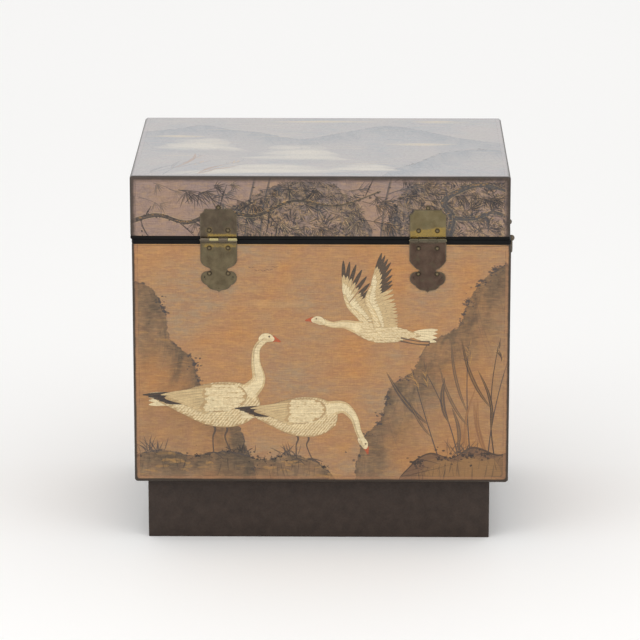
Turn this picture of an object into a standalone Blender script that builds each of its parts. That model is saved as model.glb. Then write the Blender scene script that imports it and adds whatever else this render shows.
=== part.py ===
"""Hinged decorative chest on a recessed plinth.

A thin-walled box with a shallow lid of the same outline, both covered with a lacquered
picture.  A black lacquered rim closes each mouth.  Two brass hinges on the -Y face carry
the lid, and a bail handle hangs on each side.

Metres, +Z up.  The origin is on the ground, under the centre of the whole object.
"""

import math

import bmesh
import bpy

# Gap kept between pieces that touch
GAP = 0.0003

# Chest body and lid
CHEST_WIDTH = 0.610
CHEST_DEPTH = 0.457
BODY_HEIGHT = 0.408
LID_HEIGHT = 0.104
WALL = 0.012
FLOOR = 0.012
LID_TOP = 0.012
EDGE_RADIUS = 0.005
LID_OFFSET_X = -0.002

# Black rims at the two mouths
BODY_RIM_HEIGHT = 0.007
LID_RIM_HEIGHT = 0.005
RIM_CHAMFER = 0.0008

# Plinth
PLINTH_HEIGHT = 0.102
PLINTH_INSET = 0.025
PLINTH_BOARD = 0.018
PLINTH_CORNER = 0.002
PLINTH_OFFSET_X = -0.0045

# Hinges: sheet brass leaves, rolled knuckles and a pin
HINGE_PLACES_X = {"left": -0.165, "right": 0.171}
LEAF_WIDTH = 0.059
LEAF_THICKNESS = 0.0012
LID_LEAF_LENGTH = 0.050
BODY_LEAF_LENGTH = 0.087
KNUCKLE_RADIUS = 0.004
KNUCKLE_COUNT = 4
PIN_RADIUS = 0.0018
PIN_OVERHANG = 0.0006
TAB_RADIUS = 0.0040
TAB_RISE = 0.0030

# Hinge nails: dome heads, and their places on a leaf, measured from the knuckle's axis
NAIL_HEAD_RADIUS = 0.0034
NAIL_HEAD_HEIGHT = 0.0018
NAIL_SHANK_RADIUS = 0.0010
NAIL_SPREAD = 0.015
LID_NAIL_RISE = 0.0155
BODY_NAIL_DROP = 0.0135
FOOT_NAIL_DROP = 0.0557
SHANK_SHARE_OF_WALL = 0.75

# Bail handles
HANDLE_DROP_BELOW_SEAM = 0.038
POST_SPACING = 0.114
POST_STANDOFF = 0.0072
POST_BALL_RADIUS = 0.0052
POST_COLLAR_RADIUS = 0.0036
POST_SHANK_RADIUS = 0.0020
ROSETTE_RADIUS = 0.011
ROSETTE_THICKNESS = 0.0012
BAIL_DROP = 0.0275
BAIL_ARM_RADIUS = 0.0025
BAIL_GRIP_RADIUS = 0.0030
BAIL_END_RADIUS = 0.0020
BAIL_STOP_RADIUS = 0.0032
BAIL_CORNER = 0.010
BAIL_SHOULDER = 0.005
BAIL_CLEARANCE = 0.0005

# Facets of the round pieces
BARREL_SIDES = 20
NAIL_SIDES = 10
HOLE_SIDES = 8
POST_SIDES = 16
BAIL_SIDES = 10
CORNER_SEGMENTS = 3

# Places worked out from the sizes
SEAM_Z = PLINTH_HEIGHT + BODY_HEIGHT
TOP_Z = SEAM_Z + LID_HEIGHT
BARREL_STANDOFF = GAP + KNUCKLE_RADIUS + 0.1 * LEAF_THICKNESS
HINGE_PROJECTION = max(
    BARREL_STANDOFF + KNUCKLE_RADIUS,
    2 * GAP + LEAF_THICKNESS + NAIL_HEAD_HEIGHT,
)
CENTRE_Y = HINGE_PROJECTION / 2
FACE_Y = CENTRE_Y - CHEST_DEPTH / 2
AXIS_Y = FACE_Y - BARREL_STANDOFF
SHANK_LENGTH = SHANK_SHARE_OF_WALL * WALL

# Half of a leaf's outline, as shares: x of half the leaf's width, z of the leaf's length.
# Each stretch is a straight line to a point, or a Bezier curve given by two handles and a point.
BODY_LEAF_STRETCHES = (
    ((1.0, 0.37),),
    ((1.0, 0.45), (0.85, 0.50), (0.65, 0.525)),
    ((0.53, 0.54), (0.46, 0.55), (0.46, 0.57)),
    ((0.46, 0.59), (0.50, 0.605), (0.58, 0.605)),
    ((0.80, 0.60), (0.98, 0.65), (0.98, 0.725)),
    ((0.98, 0.80), (0.84, 0.845), (0.655, 0.87)),
    ((0.59, 0.925), (0.42, 0.955), (0.22, 0.96)),
    ((0.13, 0.962), (0.06, 0.975), (0.0, 1.0)),
)
LID_LEAF_STRETCHES = (
    ((1.0, 0.82),),
    ((0.95, 0.82),),
    ((0.83, 0.84), (0.74, 0.90), (0.71, 0.96)),
    ((0.71, 1.0),),
)
CURVE_STEPS = 5


def clear_scene():
    """Empty the scene of objects and unused data."""
    for item in list(bpy.data.objects):
        bpy.data.objects.remove(item, do_unlink=True)
    for mesh in list(bpy.data.meshes):
        bpy.data.meshes.remove(mesh)
    for material in list(bpy.data.materials):
        bpy.data.materials.remove(material)


def finish_material(name, colour, roughness, metallic=0.0):
    """A Principled material with one colour."""
    material = bpy.data.materials.new(name)
    material.use_nodes = True
    material.diffuse_color = (*colour, 1.0)
    shader = material.node_tree.nodes["Principled BSDF"]
    shader.inputs["Base Color"].default_value = (*colour, 1.0)
    shader.inputs["Roughness"].default_value = roughness
    shader.inputs["Metallic"].default_value = metallic
    return material


def painted_paper(name):
    return finish_material(name, (0.42, 0.24, 0.13), 0.35)


def black_lacquer(name):
    return finish_material(name, (0.018, 0.016, 0.015), 0.25)


def plinth_paint(name):
    return finish_material(name, (0.050, 0.034, 0.030), 0.45)


def aged_brass(name):
    return finish_material(name, (0.17, 0.13, 0.075), 0.40, 1.0)


def new_object(name, mesh, material=None, location=(0.0, 0.0, 0.0), rotation=(0.0, 0.0, 0.0)):
    """Link a mesh into the scene as a named object."""
    item = bpy.data.objects.new(name, mesh)
    item.location = location
    item.rotation_euler = rotation
    bpy.context.scene.collection.objects.link(item)
    if material is not None:
        mesh.materials.append(material)
    return item


def mesh_from_bmesh(name, shape):
    """Store a bmesh with its faces pointing out."""
    bmesh.ops.recalc_face_normals(shape, faces=shape.faces)
    mesh = bpy.data.meshes.new(name)
    shape.to_mesh(mesh)
    shape.free()
    return mesh


def shade_round(mesh, angle=35.0):
    """Smooth shading with sharp edges kept."""
    mesh.shade_smooth()
    mesh.set_sharp_from_angle(angle=math.radians(angle))


def as_cutter(item):
    """Mark an object as a tool of a Boolean, which isn't a piece."""
    item.hide_render = True
    item.display_type = "WIRE"
    return item


def boolean(item, tool, operation):
    """Cut with a tool, or join a tool's body."""
    step = item.modifiers.new(tool.name, "BOOLEAN")
    step.object = tool
    step.operation = operation
    step.solver = "EXACT"


def box_shape(low, high):
    """A bmesh box between two corners."""
    shape = bmesh.new()
    bmesh.ops.create_cube(shape, size=1.0)
    for vertex in shape.verts:
        for axis in range(3):
            share = vertex.co[axis] + 0.5
            vertex.co[axis] = low[axis] + share * (high[axis] - low[axis])
    return shape


def edges_along(shape, axis):
    """The edges that run along one axis."""
    found = []
    for edge in shape.edges:
        run = edge.verts[1].co - edge.verts[0].co
        if abs(run[axis]) > 0.999 * run.length:
            found.append(edge)
    return found


def edges_at_height(shape, height):
    """The level edges that lie at one height."""
    found = []
    for edge in shape.edges:
        if all(abs(vertex.co.z - height) < 1e-6 for vertex in edge.verts):
            found.append(edge)
    return found


def bevel(shape, edges, size, segments):
    bmesh.ops.bevel(
        shape, geom=edges, offset=size, offset_type="OFFSET", segments=segments,
        profile=0.5, affect="EDGES", clamp_overlap=True,
    )


def add_box_cutter(name, low, high):
    return as_cutter(new_object(name, mesh_from_bmesh(name, box_shape(low, high))))


def footprint(centre_x, inset=0.0):
    """Low and high corners of the chest's outline in plan, moved in by an inset."""
    low = (centre_x - CHEST_WIDTH / 2 + inset, CENTRE_Y - CHEST_DEPTH / 2 + inset)
    high = (centre_x + CHEST_WIDTH / 2 - inset, CENTRE_Y + CHEST_DEPTH / 2 - inset)
    return low, high


def add_plinth():
    """A frame of boards, open below and above."""
    low, high = footprint(PLINTH_OFFSET_X, PLINTH_INSET)
    shape = box_shape((*low, 0.0), (*high, PLINTH_HEIGHT - GAP))
    bevel(shape, edges_along(shape, 2), PLINTH_CORNER, 2)
    plinth = new_object("plinth", mesh_from_bmesh("plinth", shape), plinth_paint("plinth"))
    inner_low, inner_high = footprint(PLINTH_OFFSET_X, PLINTH_INSET + PLINTH_BOARD)
    hollow = add_box_cutter(
        "cut_plinth_hollow",
        (*inner_low, -PLINTH_HEIGHT), (*inner_high, 2 * PLINTH_HEIGHT),
    )
    boolean(plinth, hollow, "DIFFERENCE")


def add_shell(name, centre_x, low_z, high_z, hollow_low_z, hollow_high_z, closed_z):
    """A box with rounded corners and rounded edges round its closed side, hollowed from its mouth."""
    low, high = footprint(centre_x)
    shape = box_shape((*low, low_z), (*high, high_z))
    edges = edges_along(shape, 2) + edges_at_height(shape, closed_z)
    bevel(shape, edges, EDGE_RADIUS, CORNER_SEGMENTS)
    shell = new_object(name, mesh_from_bmesh(name, shape), painted_paper(name))
    shade_round(shell.data)
    inner_low, inner_high = footprint(centre_x, WALL)
    hollow = add_box_cutter(
        "cut_" + name + "_hollow", (*inner_low, hollow_low_z), (*inner_high, hollow_high_z),
    )
    boolean(shell, hollow, "DIFFERENCE")
    return shell


def add_body():
    bottom = PLINTH_HEIGHT
    top = SEAM_Z - BODY_RIM_HEIGHT - GAP
    return add_shell("chest_body", 0.0, bottom, top, bottom + FLOOR, SEAM_Z, bottom)


def add_lid():
    bottom = SEAM_Z + LID_RIM_HEIGHT + GAP
    return add_shell("lid", LID_OFFSET_X, bottom, TOP_Z, SEAM_Z, TOP_Z - LID_TOP, TOP_Z)


def add_rim(name, centre_x, low_z, high_z, seam_edge_z):
    """A flat frame as thick as the wall, its seam edge chamfered."""
    low, high = footprint(centre_x)
    shape = box_shape((*low, low_z), (*high, high_z))
    bevel(shape, edges_along(shape, 2), EDGE_RADIUS, CORNER_SEGMENTS)
    bevel(shape, edges_at_height(shape, seam_edge_z), RIM_CHAMFER, 1)
    rim = new_object(name, mesh_from_bmesh(name, shape), black_lacquer(name))
    inner_low, inner_high = footprint(centre_x, WALL)
    hollow = add_box_cutter(
        "cut_" + name + "_hollow",
        (*inner_low, low_z - LID_HEIGHT), (*inner_high, high_z + LID_HEIGHT),
    )
    boolean(rim, hollow, "DIFFERENCE")


def add_rims():
    body_top = SEAM_Z - GAP / 2
    lid_bottom = SEAM_Z + GAP / 2
    add_rim("body_rim", 0.0, SEAM_Z - BODY_RIM_HEIGHT, body_top, body_top)
    add_rim("lid_rim", LID_OFFSET_X, lid_bottom, SEAM_Z + LID_RIM_HEIGHT, lid_bottom)


def bezier(start, handle_a, handle_b, end, steps):
    """Points of a cubic curve after its start."""
    points = []
    for step in range(1, steps + 1):
        t = step / steps
        weights = ((1 - t) ** 3, 3 * t * (1 - t) ** 2, 3 * t * t * (1 - t), t ** 3)
        corners = (start, handle_a, handle_b, end)
        points.append(tuple(
            sum(weight * corner[axis] for weight, corner in zip(weights, corners))
            for axis in range(2)
        ))
    return points


def half_outline(stretches, start, half_width, length):
    """The +x half of a leaf's outline, from its knuckle edge to its middle."""
    points = [start]
    for stretch in stretches:
        corners = [(x * half_width, z * length) for x, z in stretch]
        if len(corners) == 1:
            points.append(corners[0])
        else:
            points.extend(bezier(points[-1], *corners, CURVE_STEPS))
    return points


def tab_points():
    """The +x half of the round tab on the lid leaf's end, ending on the middle line."""
    centre = LID_LEAF_LENGTH + TAB_RISE
    foot = -math.asin(TAB_RISE / TAB_RADIUS)
    points = []
    for step in range(7):
        angle = foot + (math.pi / 2 - foot) * step / 6
        points.append((TAB_RADIUS * math.cos(angle), centre + TAB_RADIUS * math.sin(angle)))
    return points


def knuckle_spans():
    """The x stretch of each knuckle, measured from the hinge's middle."""
    pitch = (LEAF_WIDTH + GAP) / KNUCKLE_COUNT
    spans = []
    for index in range(KNUCKLE_COUNT):
        start = -LEAF_WIDTH / 2 + index * pitch
        spans.append((start, start + pitch - GAP))
    return spans


def knuckle_edge(own_parity):
    """The leaf's edge at the barrel: sunk into its own knuckles, notched clear of the others."""
    notch = KNUCKLE_RADIUS + GAP
    root = 0.25 * KNUCKLE_RADIUS
    points = []
    for index, (start, end) in enumerate(knuckle_spans()):
        if index % 2 == own_parity:
            points.extend([(start, root), (end, root)])
        else:
            left = start - GAP if index > 0 else start
            right = end + GAP if index < KNUCKLE_COUNT - 1 else end
            points.extend([(left, notch), (right, notch)])
    cleaned = []
    for point in points:
        if not cleaned or math.dist(point, cleaned[-1]) > 1e-6:
            cleaned.append(point)
    return cleaned


def leaf_outline(kind):
    """Closed outline of a leaf, with z growing away from the knuckles."""
    half_width = LEAF_WIDTH / 2
    if kind == "lid":
        edge = knuckle_edge(0)
        half = half_outline(LID_LEAF_STRETCHES, edge[-1], half_width, LID_LEAF_LENGTH)
        half.extend(tab_points())
    else:
        edge = knuckle_edge(1)
        half = half_outline(BODY_LEAF_STRETCHES, edge[-1], half_width, BODY_LEAF_LENGTH)
    mirrored = [(-x, z) for x, z in reversed(half[1:-1])]
    return edge + half[1:] + mirrored


def prism(outline, front_y, back_y, up):
    """A plate with an outline in x and z, between two y planes."""
    shape = bmesh.new()
    back = [shape.verts.new((x, back_y, up * z)) for x, z in outline]
    front = [shape.verts.new((x, front_y, up * z)) for x, z in outline]
    shape.faces.new(back)
    shape.faces.new(list(reversed(front)))
    count = len(outline)
    for index in range(count):
        after = (index + 1) % count
        shape.faces.new((back[after], back[index], front[index], front[after]))
    return shape


def add_cylinder(shape, axis, span, centre, radius, sides):
    """Add a closed cylinder along x (axis 0) or y (axis 1), its centre given in the other two axes."""
    rings = []
    for along in span:
        ring = []
        for index in range(sides):
            angle = 2 * math.pi * index / sides
            point = [centre[0] + radius * math.cos(angle), centre[1] + radius * math.sin(angle)]
            point.insert(axis, along)
            ring.append(shape.verts.new(point))
        rings.append(ring)
    shape.faces.new(rings[0])
    shape.faces.new(list(reversed(rings[1])))
    for index in range(sides):
        after = (index + 1) % sides
        shape.faces.new((rings[0][index], rings[0][after], rings[1][after], rings[1][index]))


def knuckles_tool(name, own_parity, place):
    """The solid barrels of one leaf."""
    shape = bmesh.new()
    centre = (-BARREL_STANDOFF, 0.0)
    for index, span in enumerate(knuckle_spans()):
        if index % 2 == own_parity:
            add_cylinder(shape, 0, span, centre, KNUCKLE_RADIUS, BARREL_SIDES)
    return as_cutter(new_object(name, mesh_from_bmesh(name, shape), location=place))


def bore_tool(name, place):
    """The bore through all the knuckles."""
    shape = bmesh.new()
    span = (-LEAF_WIDTH, LEAF_WIDTH)
    add_cylinder(shape, 0, span, (-BARREL_STANDOFF, 0.0), PIN_RADIUS + GAP, BARREL_SIDES)
    return as_cutter(new_object(name, mesh_from_bmesh(name, shape), location=place))


def nail_places(kind):
    """Each nail's name and its place on the face, measured from the knuckle's axis."""
    if kind == "lid":
        return {
            "lid_left": (-NAIL_SPREAD, LID_NAIL_RISE),
            "lid_right": (NAIL_SPREAD, LID_NAIL_RISE),
            "lid_tab": (0.0, LID_LEAF_LENGTH + TAB_RISE),
        }
    return {
        "body_left": (-NAIL_SPREAD, -BODY_NAIL_DROP),
        "body_right": (NAIL_SPREAD, -BODY_NAIL_DROP),
        "foot_left": (-NAIL_SPREAD, -FOOT_NAIL_DROP),
        "foot_right": (NAIL_SPREAD, -FOOT_NAIL_DROP),
    }


def nail_holes_tool(name, kind, place):
    """The nail holes through a leaf and into the wall behind it."""
    shape = bmesh.new()
    span = (-HINGE_PROJECTION, SHANK_LENGTH + GAP)
    for centre in nail_places(kind).values():
        add_cylinder(shape, 1, span, centre, NAIL_SHANK_RADIUS + GAP, HOLE_SIDES)
    return as_cutter(new_object(name, mesh_from_bmesh(name, shape), location=place))


def turned(name, profile, sides):
    """A turned solid about z from (radius, height) points, its first and last on the axis."""
    shape = bmesh.new()
    rings = []
    for radius, height in profile[1:-1]:
        ring = []
        for index in range(sides):
            angle = 2 * math.pi * index / sides
            ring.append(shape.verts.new((radius * math.cos(angle), radius * math.sin(angle), height)))
        rings.append(ring)
    bottom = shape.verts.new((0.0, 0.0, profile[0][1]))
    top = shape.verts.new((0.0, 0.0, profile[-1][1]))
    for index in range(sides):
        after = (index + 1) % sides
        shape.faces.new((bottom, rings[0][after], rings[0][index]))
        for low, high in zip(rings, rings[1:]):
            shape.faces.new((low[index], low[after], high[after], high[index]))
        shape.faces.new((top, rings[-1][index], rings[-1][after]))
    mesh = mesh_from_bmesh(name, shape)
    shade_round(mesh)
    return mesh


def nail_profile():
    """Shank and dome head, with height 0 on the wall's face."""
    seat = 2 * GAP + LEAF_THICKNESS
    profile = [(0.0, -SHANK_LENGTH), (NAIL_SHANK_RADIUS, -SHANK_LENGTH), (NAIL_SHANK_RADIUS, seat)]
    for step in range(4):
        angle = math.pi / 2 * step / 4
        radius = NAIL_HEAD_RADIUS * math.cos(angle)
        profile.append((radius, seat + NAIL_HEAD_HEIGHT * math.sin(angle)))
    profile.append((0.0, seat + NAIL_HEAD_HEIGHT))
    return profile


def add_nails(hinge, kind, place):
    for name, (x, z) in nail_places(kind).items():
        full_name = "hinge_" + hinge + "_nail_" + name
        spot = (place[0] + x, place[1], place[2] + z)
        mesh = turned(full_name, nail_profile(), NAIL_SIDES)
        new_object(full_name, mesh, aged_brass(full_name), spot, (math.pi / 2, 0.0, 0.0))


def add_leaf(hinge, kind, wall_piece):
    """One leaf with its knuckles and nail holes, and the same holes in the wall behind it."""
    name = "hinge_" + hinge + "_" + kind + "_leaf"
    up = 1 if kind == "lid" else -1
    own_parity = 0 if kind == "lid" else 1
    place = (HINGE_PLACES_X[hinge], FACE_Y, SEAM_Z)
    shape = prism(leaf_outline(kind), -GAP - LEAF_THICKNESS, -GAP, up)
    leaf = new_object(name, mesh_from_bmesh(name, shape), aged_brass(name), place)
    holes = nail_holes_tool("cut_" + name + "_nail_holes", kind, place)
    boolean(leaf, knuckles_tool("join_" + name + "_knuckles", own_parity, place), "UNION")
    boolean(leaf, bore_tool("cut_" + name + "_bore", place), "DIFFERENCE")
    boolean(leaf, holes, "DIFFERENCE")
    boolean(wall_piece, holes, "DIFFERENCE")
    add_nails(hinge, kind, place)


def add_pin(hinge):
    """The hinge pin, a little longer than the barrel, with rounded ends."""
    name = "hinge_" + hinge + "_pin"
    half = LEAF_WIDTH / 2 + PIN_OVERHANG
    crown = 0.6 * PIN_RADIUS
    profile = [
        (0.0, -half), (0.7 * PIN_RADIUS, -half), (PIN_RADIUS, -half + crown),
        (PIN_RADIUS, half - crown), (0.7 * PIN_RADIUS, half), (0.0, half),
    ]
    place = (HINGE_PLACES_X[hinge], AXIS_Y, SEAM_Z)
    mesh = turned(name, profile, BARREL_SIDES)
    new_object(name, mesh, aged_brass(name), place, (0.0, math.pi / 2, 0.0))


def add_hinges(body, lid):
    for hinge in HINGE_PLACES_X:
        add_leaf(hinge, "lid", lid)
        add_leaf(hinge, "body", body)
        add_pin(hinge)


def bail_path():
    """Half of the bail from the middle of its grip to its end: (along, height, radius)."""
    post = POST_SPACING / 2
    arm = post - POST_BALL_RADIUS - BAIL_CLEARANCE - BAIL_SHOULDER
    end = post + POST_BALL_RADIUS + BAIL_CLEARANCE
    path = [(0.0, -BAIL_DROP, BAIL_GRIP_RADIUS), (0.5 * arm, -BAIL_DROP, BAIL_GRIP_RADIUS)]
    for step in range(5):
        angle = math.pi / 2 * step / 4
        along = arm - BAIL_CORNER + BAIL_CORNER * math.sin(angle)
        path.append((along, -BAIL_DROP + BAIL_CORNER * (1 - math.cos(angle)), BAIL_ARM_RADIUS))
    for step in range(4):
        angle = math.pi / 2 * step / 3
        along = arm + BAIL_SHOULDER * (1 - math.cos(angle))
        path.append((along, -BAIL_SHOULDER * (1 - math.sin(angle)), BAIL_END_RADIUS))
    stop = BAIL_STOP_RADIUS
    path.append((end, 0.0, BAIL_END_RADIUS))
    path.append((end + 0.1 * stop, 0.0, 0.8 * stop))
    path.append((end + 0.6 * stop, 0.0, stop))
    path.append((end + 1.1 * stop, 0.0, 0.8 * stop))
    path.append((end + 1.4 * stop, 0.0, 0.3 * stop))
    return path


def swept(name, path, sides):
    """A round bar that follows a path in the plane of y and z."""
    shape = bmesh.new()
    rings = []
    for index, (along, height, radius) in enumerate(path):
        before = path[max(index - 1, 0)]
        after = path[min(index + 1, len(path) - 1)]
        run = math.hypot(after[0] - before[0], after[1] - before[1])
        normal = (-(after[1] - before[1]) / run, (after[0] - before[0]) / run)
        ring = []
        for side in range(sides):
            angle = 2 * math.pi * side / sides
            out = radius * math.cos(angle)
            across = radius * math.sin(angle)
            ring.append(shape.verts.new((out, along + across * normal[0], height + across * normal[1])))
        rings.append(ring)
    shape.faces.new(rings[0])
    shape.faces.new(list(reversed(rings[-1])))
    for low, high in zip(rings, rings[1:]):
        for side in range(sides):
            after = (side + 1) % sides
            shape.faces.new((low[side], low[after], high[after], high[side]))
    mesh = mesh_from_bmesh(name, shape)
    shade_round(mesh, 50.0)
    return mesh


def post_profile():
    """Shank, collar and ball, with height 0 on the wall's face."""
    seat = 2 * GAP + ROSETTE_THICKNESS
    foot = math.asin(POST_COLLAR_RADIUS / POST_BALL_RADIUS)
    profile = [(0.0, -SHANK_LENGTH), (POST_SHANK_RADIUS, -SHANK_LENGTH), (POST_SHANK_RADIUS, seat)]
    profile.append((POST_COLLAR_RADIUS, seat))
    for step in range(7):
        angle = foot + (math.pi - foot) * step / 7
        radius = POST_BALL_RADIUS * math.sin(angle)
        profile.append((radius, POST_STANDOFF - POST_BALL_RADIUS * math.cos(angle)))
    profile.append((0.0, POST_STANDOFF + POST_BALL_RADIUS))
    return profile


def rosette_profile():
    """A round washer plate with a soft edge, before its hole is cut."""
    top = GAP + ROSETTE_THICKNESS
    return [
        (0.0, GAP), (ROSETTE_RADIUS, GAP), (ROSETTE_RADIUS, GAP + 0.4 * ROSETTE_THICKNESS),
        (0.9 * ROSETTE_RADIUS, top), (0.0, top),
    ]


def shank_holes_tool(name, posts_y, direction, place):
    """The holes for both posts, through the rosettes and into the wall."""
    shape = bmesh.new()
    span = (-direction * (SHANK_LENGTH + GAP), direction * POST_STANDOFF)
    for y in posts_y:
        add_cylinder(shape, 0, span, (y, 0.0), POST_SHANK_RADIUS + GAP, HOLE_SIDES)
    return as_cutter(new_object(name, mesh_from_bmesh(name, shape), location=place))


def cross_holes_tool(name, place):
    """The holes through both post balls, on the bail's axis."""
    shape = bmesh.new()
    span = (-POST_SPACING, POST_SPACING)
    add_cylinder(shape, 1, span, (0.0, 0.0), BAIL_END_RADIUS + GAP, POST_SIDES)
    return as_cutter(new_object(name, mesh_from_bmesh(name, shape), location=place))


def add_turned_piece(name, profile, place, outward, holes):
    """A turned brass piece on the wall, with holes through it."""
    piece = new_object(name, turned(name, profile, POST_SIDES), aged_brass(name), place, outward)
    boolean(piece, holes, "DIFFERENCE")


def add_bail(name, place):
    half = bail_path()
    path = [(-along, drop, radius) for along, drop, radius in reversed(half[1:])] + half
    new_object(name, swept(name, path, BAIL_SIDES), aged_brass(name), place)


def add_handle(side, direction, body):
    """A bail on two posts, on the side of the body that faces the given x direction."""
    name = "handle_" + side
    face_x = direction * CHEST_WIDTH / 2
    height = SEAM_Z - HANDLE_DROP_BELOW_SEAM
    axis_place = (face_x + direction * POST_STANDOFF, CENTRE_Y, height)
    outward = (0.0, direction * math.pi / 2, 0.0)
    posts_y = {"front": CENTRE_Y - POST_SPACING / 2, "back": CENTRE_Y + POST_SPACING / 2}
    wall_place = (face_x, 0.0, height)
    shank_holes = shank_holes_tool(
        "cut_" + name + "_shank_holes", posts_y.values(), direction, wall_place,
    )
    cross_holes = cross_holes_tool("cut_" + name + "_cross_holes", axis_place)
    boolean(body, shank_holes, "DIFFERENCE")
    for end, y in posts_y.items():
        place = (face_x, y, height)
        add_turned_piece(name + "_post_" + end, post_profile(), place, outward, cross_holes)
        add_turned_piece(name + "_rosette_" + end, rosette_profile(), place, outward, shank_holes)
    add_bail(name + "_bail", axis_place)


def main():
    clear_scene()
    add_plinth()
    body = add_body()
    lid = add_lid()
    add_rims()
    add_hinges(body, lid)
    add_handle("left", -1, body)
    add_handle("right", 1, body)


main()
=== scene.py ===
# %% [markdown]
# # A picture-covered chest on a plinth
# A thin-walled wooden chest, papered with a landscape painted on silk and lacquered over.
# Two brass hinges, a bail handle on each side, black rims at the mouth, a dark plinth below.
# Its construction is fixed and comes in as a frame. This lesson makes what the eye sees.

import math
import random

import bmesh
import bpy
import numpy as np
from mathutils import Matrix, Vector
from mathutils.geometry import delaunay_2d_cdt


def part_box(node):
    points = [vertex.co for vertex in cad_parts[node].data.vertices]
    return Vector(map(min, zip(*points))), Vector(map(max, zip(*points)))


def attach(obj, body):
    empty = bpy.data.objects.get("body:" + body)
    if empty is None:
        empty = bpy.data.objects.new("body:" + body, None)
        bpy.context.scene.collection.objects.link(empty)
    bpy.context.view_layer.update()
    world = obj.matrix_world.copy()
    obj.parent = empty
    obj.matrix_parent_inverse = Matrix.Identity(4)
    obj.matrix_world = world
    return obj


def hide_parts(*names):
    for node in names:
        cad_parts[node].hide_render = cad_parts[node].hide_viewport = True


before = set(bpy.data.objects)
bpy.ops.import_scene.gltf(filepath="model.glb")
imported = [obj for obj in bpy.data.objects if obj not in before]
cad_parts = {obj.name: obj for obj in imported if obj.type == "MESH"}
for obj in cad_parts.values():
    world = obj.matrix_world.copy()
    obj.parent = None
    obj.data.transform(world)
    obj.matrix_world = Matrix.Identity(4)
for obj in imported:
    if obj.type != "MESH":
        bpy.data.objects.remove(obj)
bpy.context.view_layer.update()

# %% [markdown]
# ## The sizes that the looks start from
# The boxes are read off the frame, so a picture always meets the edge that it belongs to. The
# thickness of wall and paper, the rounding and the small gaps are typed in.
# The painted sheets are as thick as lacquered paper, and lie on a slightly smaller box.

# %% Measure the frame
body_low, body_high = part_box("chest_body")
lid_low, lid_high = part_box("lid")
body_rim_low, body_rim_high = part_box("body_rim")
lid_rim_low, lid_rim_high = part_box("lid_rim")
plinth_low, plinth_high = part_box("plinth")
seam_z = (body_rim_high.z + lid_rim_low.z) / 2
PAPER = 0.0003
EDGE_RADIUS = 0.005
WALL = 0.012
SHEET_INSET = 0.0022
RIM_GAP = 0.0006
SAME_PLACE = 1e-6
print("seam height", round(seam_z, 4), "chest width", round(body_high.x - body_low.x, 4))


# %% [markdown]
# ## Small helpers for work by hand
# Every tool in edit mode acts on what is selected. So a piece is taken alone first, and its
# edges or faces are picked by where they lie. A finished piece has its place in its mesh.

# %% Take a piece, pick its parts, finish it
def clear_selection():
    if bpy.context.mode != "OBJECT":
        bpy.ops.object.mode_set(mode="OBJECT")
    bpy.ops.object.select_all(action="DESELECT")


def take(piece):
    clear_selection()
    piece.select_set(True)
    bpy.context.view_layer.objects.active = piece


def edit(piece, kind):
    """Open a piece in edit mode with nothing selected, and return its editable mesh."""
    take(piece)
    bpy.ops.object.mode_set(mode="EDIT")
    bpy.ops.mesh.select_mode(type=kind)
    bpy.ops.mesh.select_all(action="DESELECT")
    return bmesh.from_edit_mesh(piece.data)


def pick(piece, parts):
    for part in parts:
        part.select_set(True)
    bmesh.update_edit_mesh(piece.data)


def round_picked(width, steps):
    """Round off the picked edges, and leave edit mode."""
    bpy.ops.mesh.bevel(offset=width, segments=steps, profile=0.5, affect="EDGES")
    bpy.ops.object.mode_set(mode="OBJECT")


def settle(piece):
    """Put the piece's place, turn and size into its mesh."""
    take(piece)
    bpy.ops.object.transform_apply(location=True, rotation=True, scale=True)


def apply_steps(piece):
    take(piece)
    for step in list(piece.modifiers):
        bpy.ops.object.modifier_apply(modifier=step.name)


def bring_in(thing):
    """Put a new piece, lamp or camera into the room."""
    bpy.context.scene.collection.objects.link(thing)


def rename(piece, name):
    piece.name = name
    piece.data.name = name
    return piece


def add_block(name, low, high):
    """A box between two corners."""
    clear_selection()
    centre = (Vector(low) + Vector(high)) / 2
    bpy.ops.mesh.primitive_cube_add(size=1.0, location=centre)
    block = rename(bpy.context.object, name)
    block.scale = Vector(high) - Vector(low)
    settle(block)
    return block


def cut_away(piece, tool):
    """Cut a tool's shape out of a piece, and throw the tool away."""
    step = piece.modifiers.new("cut", "BOOLEAN")
    step.object = tool
    step.operation = "DIFFERENCE"
    step.solver = "EXACT"
    apply_steps(piece)
    bpy.data.objects.remove(tool, do_unlink=True)


def weld():
    """Join points that lie on each other, turn all faces outward, and leave edit mode."""
    bpy.ops.mesh.select_all(action="SELECT")
    bpy.ops.mesh.remove_doubles(threshold=SAME_PLACE)
    bpy.ops.mesh.normals_make_consistent(inside=False)
    bpy.ops.object.mode_set(mode="OBJECT")


def smooth_by_angle(piece, degrees=35):
    take(piece)
    bpy.ops.object.shade_smooth_by_angle(angle=math.radians(degrees))


# %% [markdown]
# ## The room: a floor and soft light
# The chest stands on a wide white floor that reaches far beyond it on all sides, so it can be
# looked at from anywhere. Bright air gives light with hardly a shadow, and large lamps above
# and on both sides add a little shape. One more lamp lights the floor behind.

# %% Make the studio
FLOOR_WIDTH = 80.0


def add_floor():
    clear_selection()
    bpy.ops.mesh.primitive_plane_add(size=FLOOR_WIDTH, location=(0.0, 0.0, 0.0))
    floor = rename(bpy.context.object, "studio_floor")
    paper = bpy.data.materials.new("studio_paper")
    paper.use_nodes = True
    shader = paper.node_tree.nodes["Principled BSDF"]
    shader.inputs["Base Color"].default_value = (0.95, 0.944, 0.932, 1.0)
    shader.inputs["Roughness"].default_value = 0.9
    floor.data.materials.append(paper)


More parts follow.
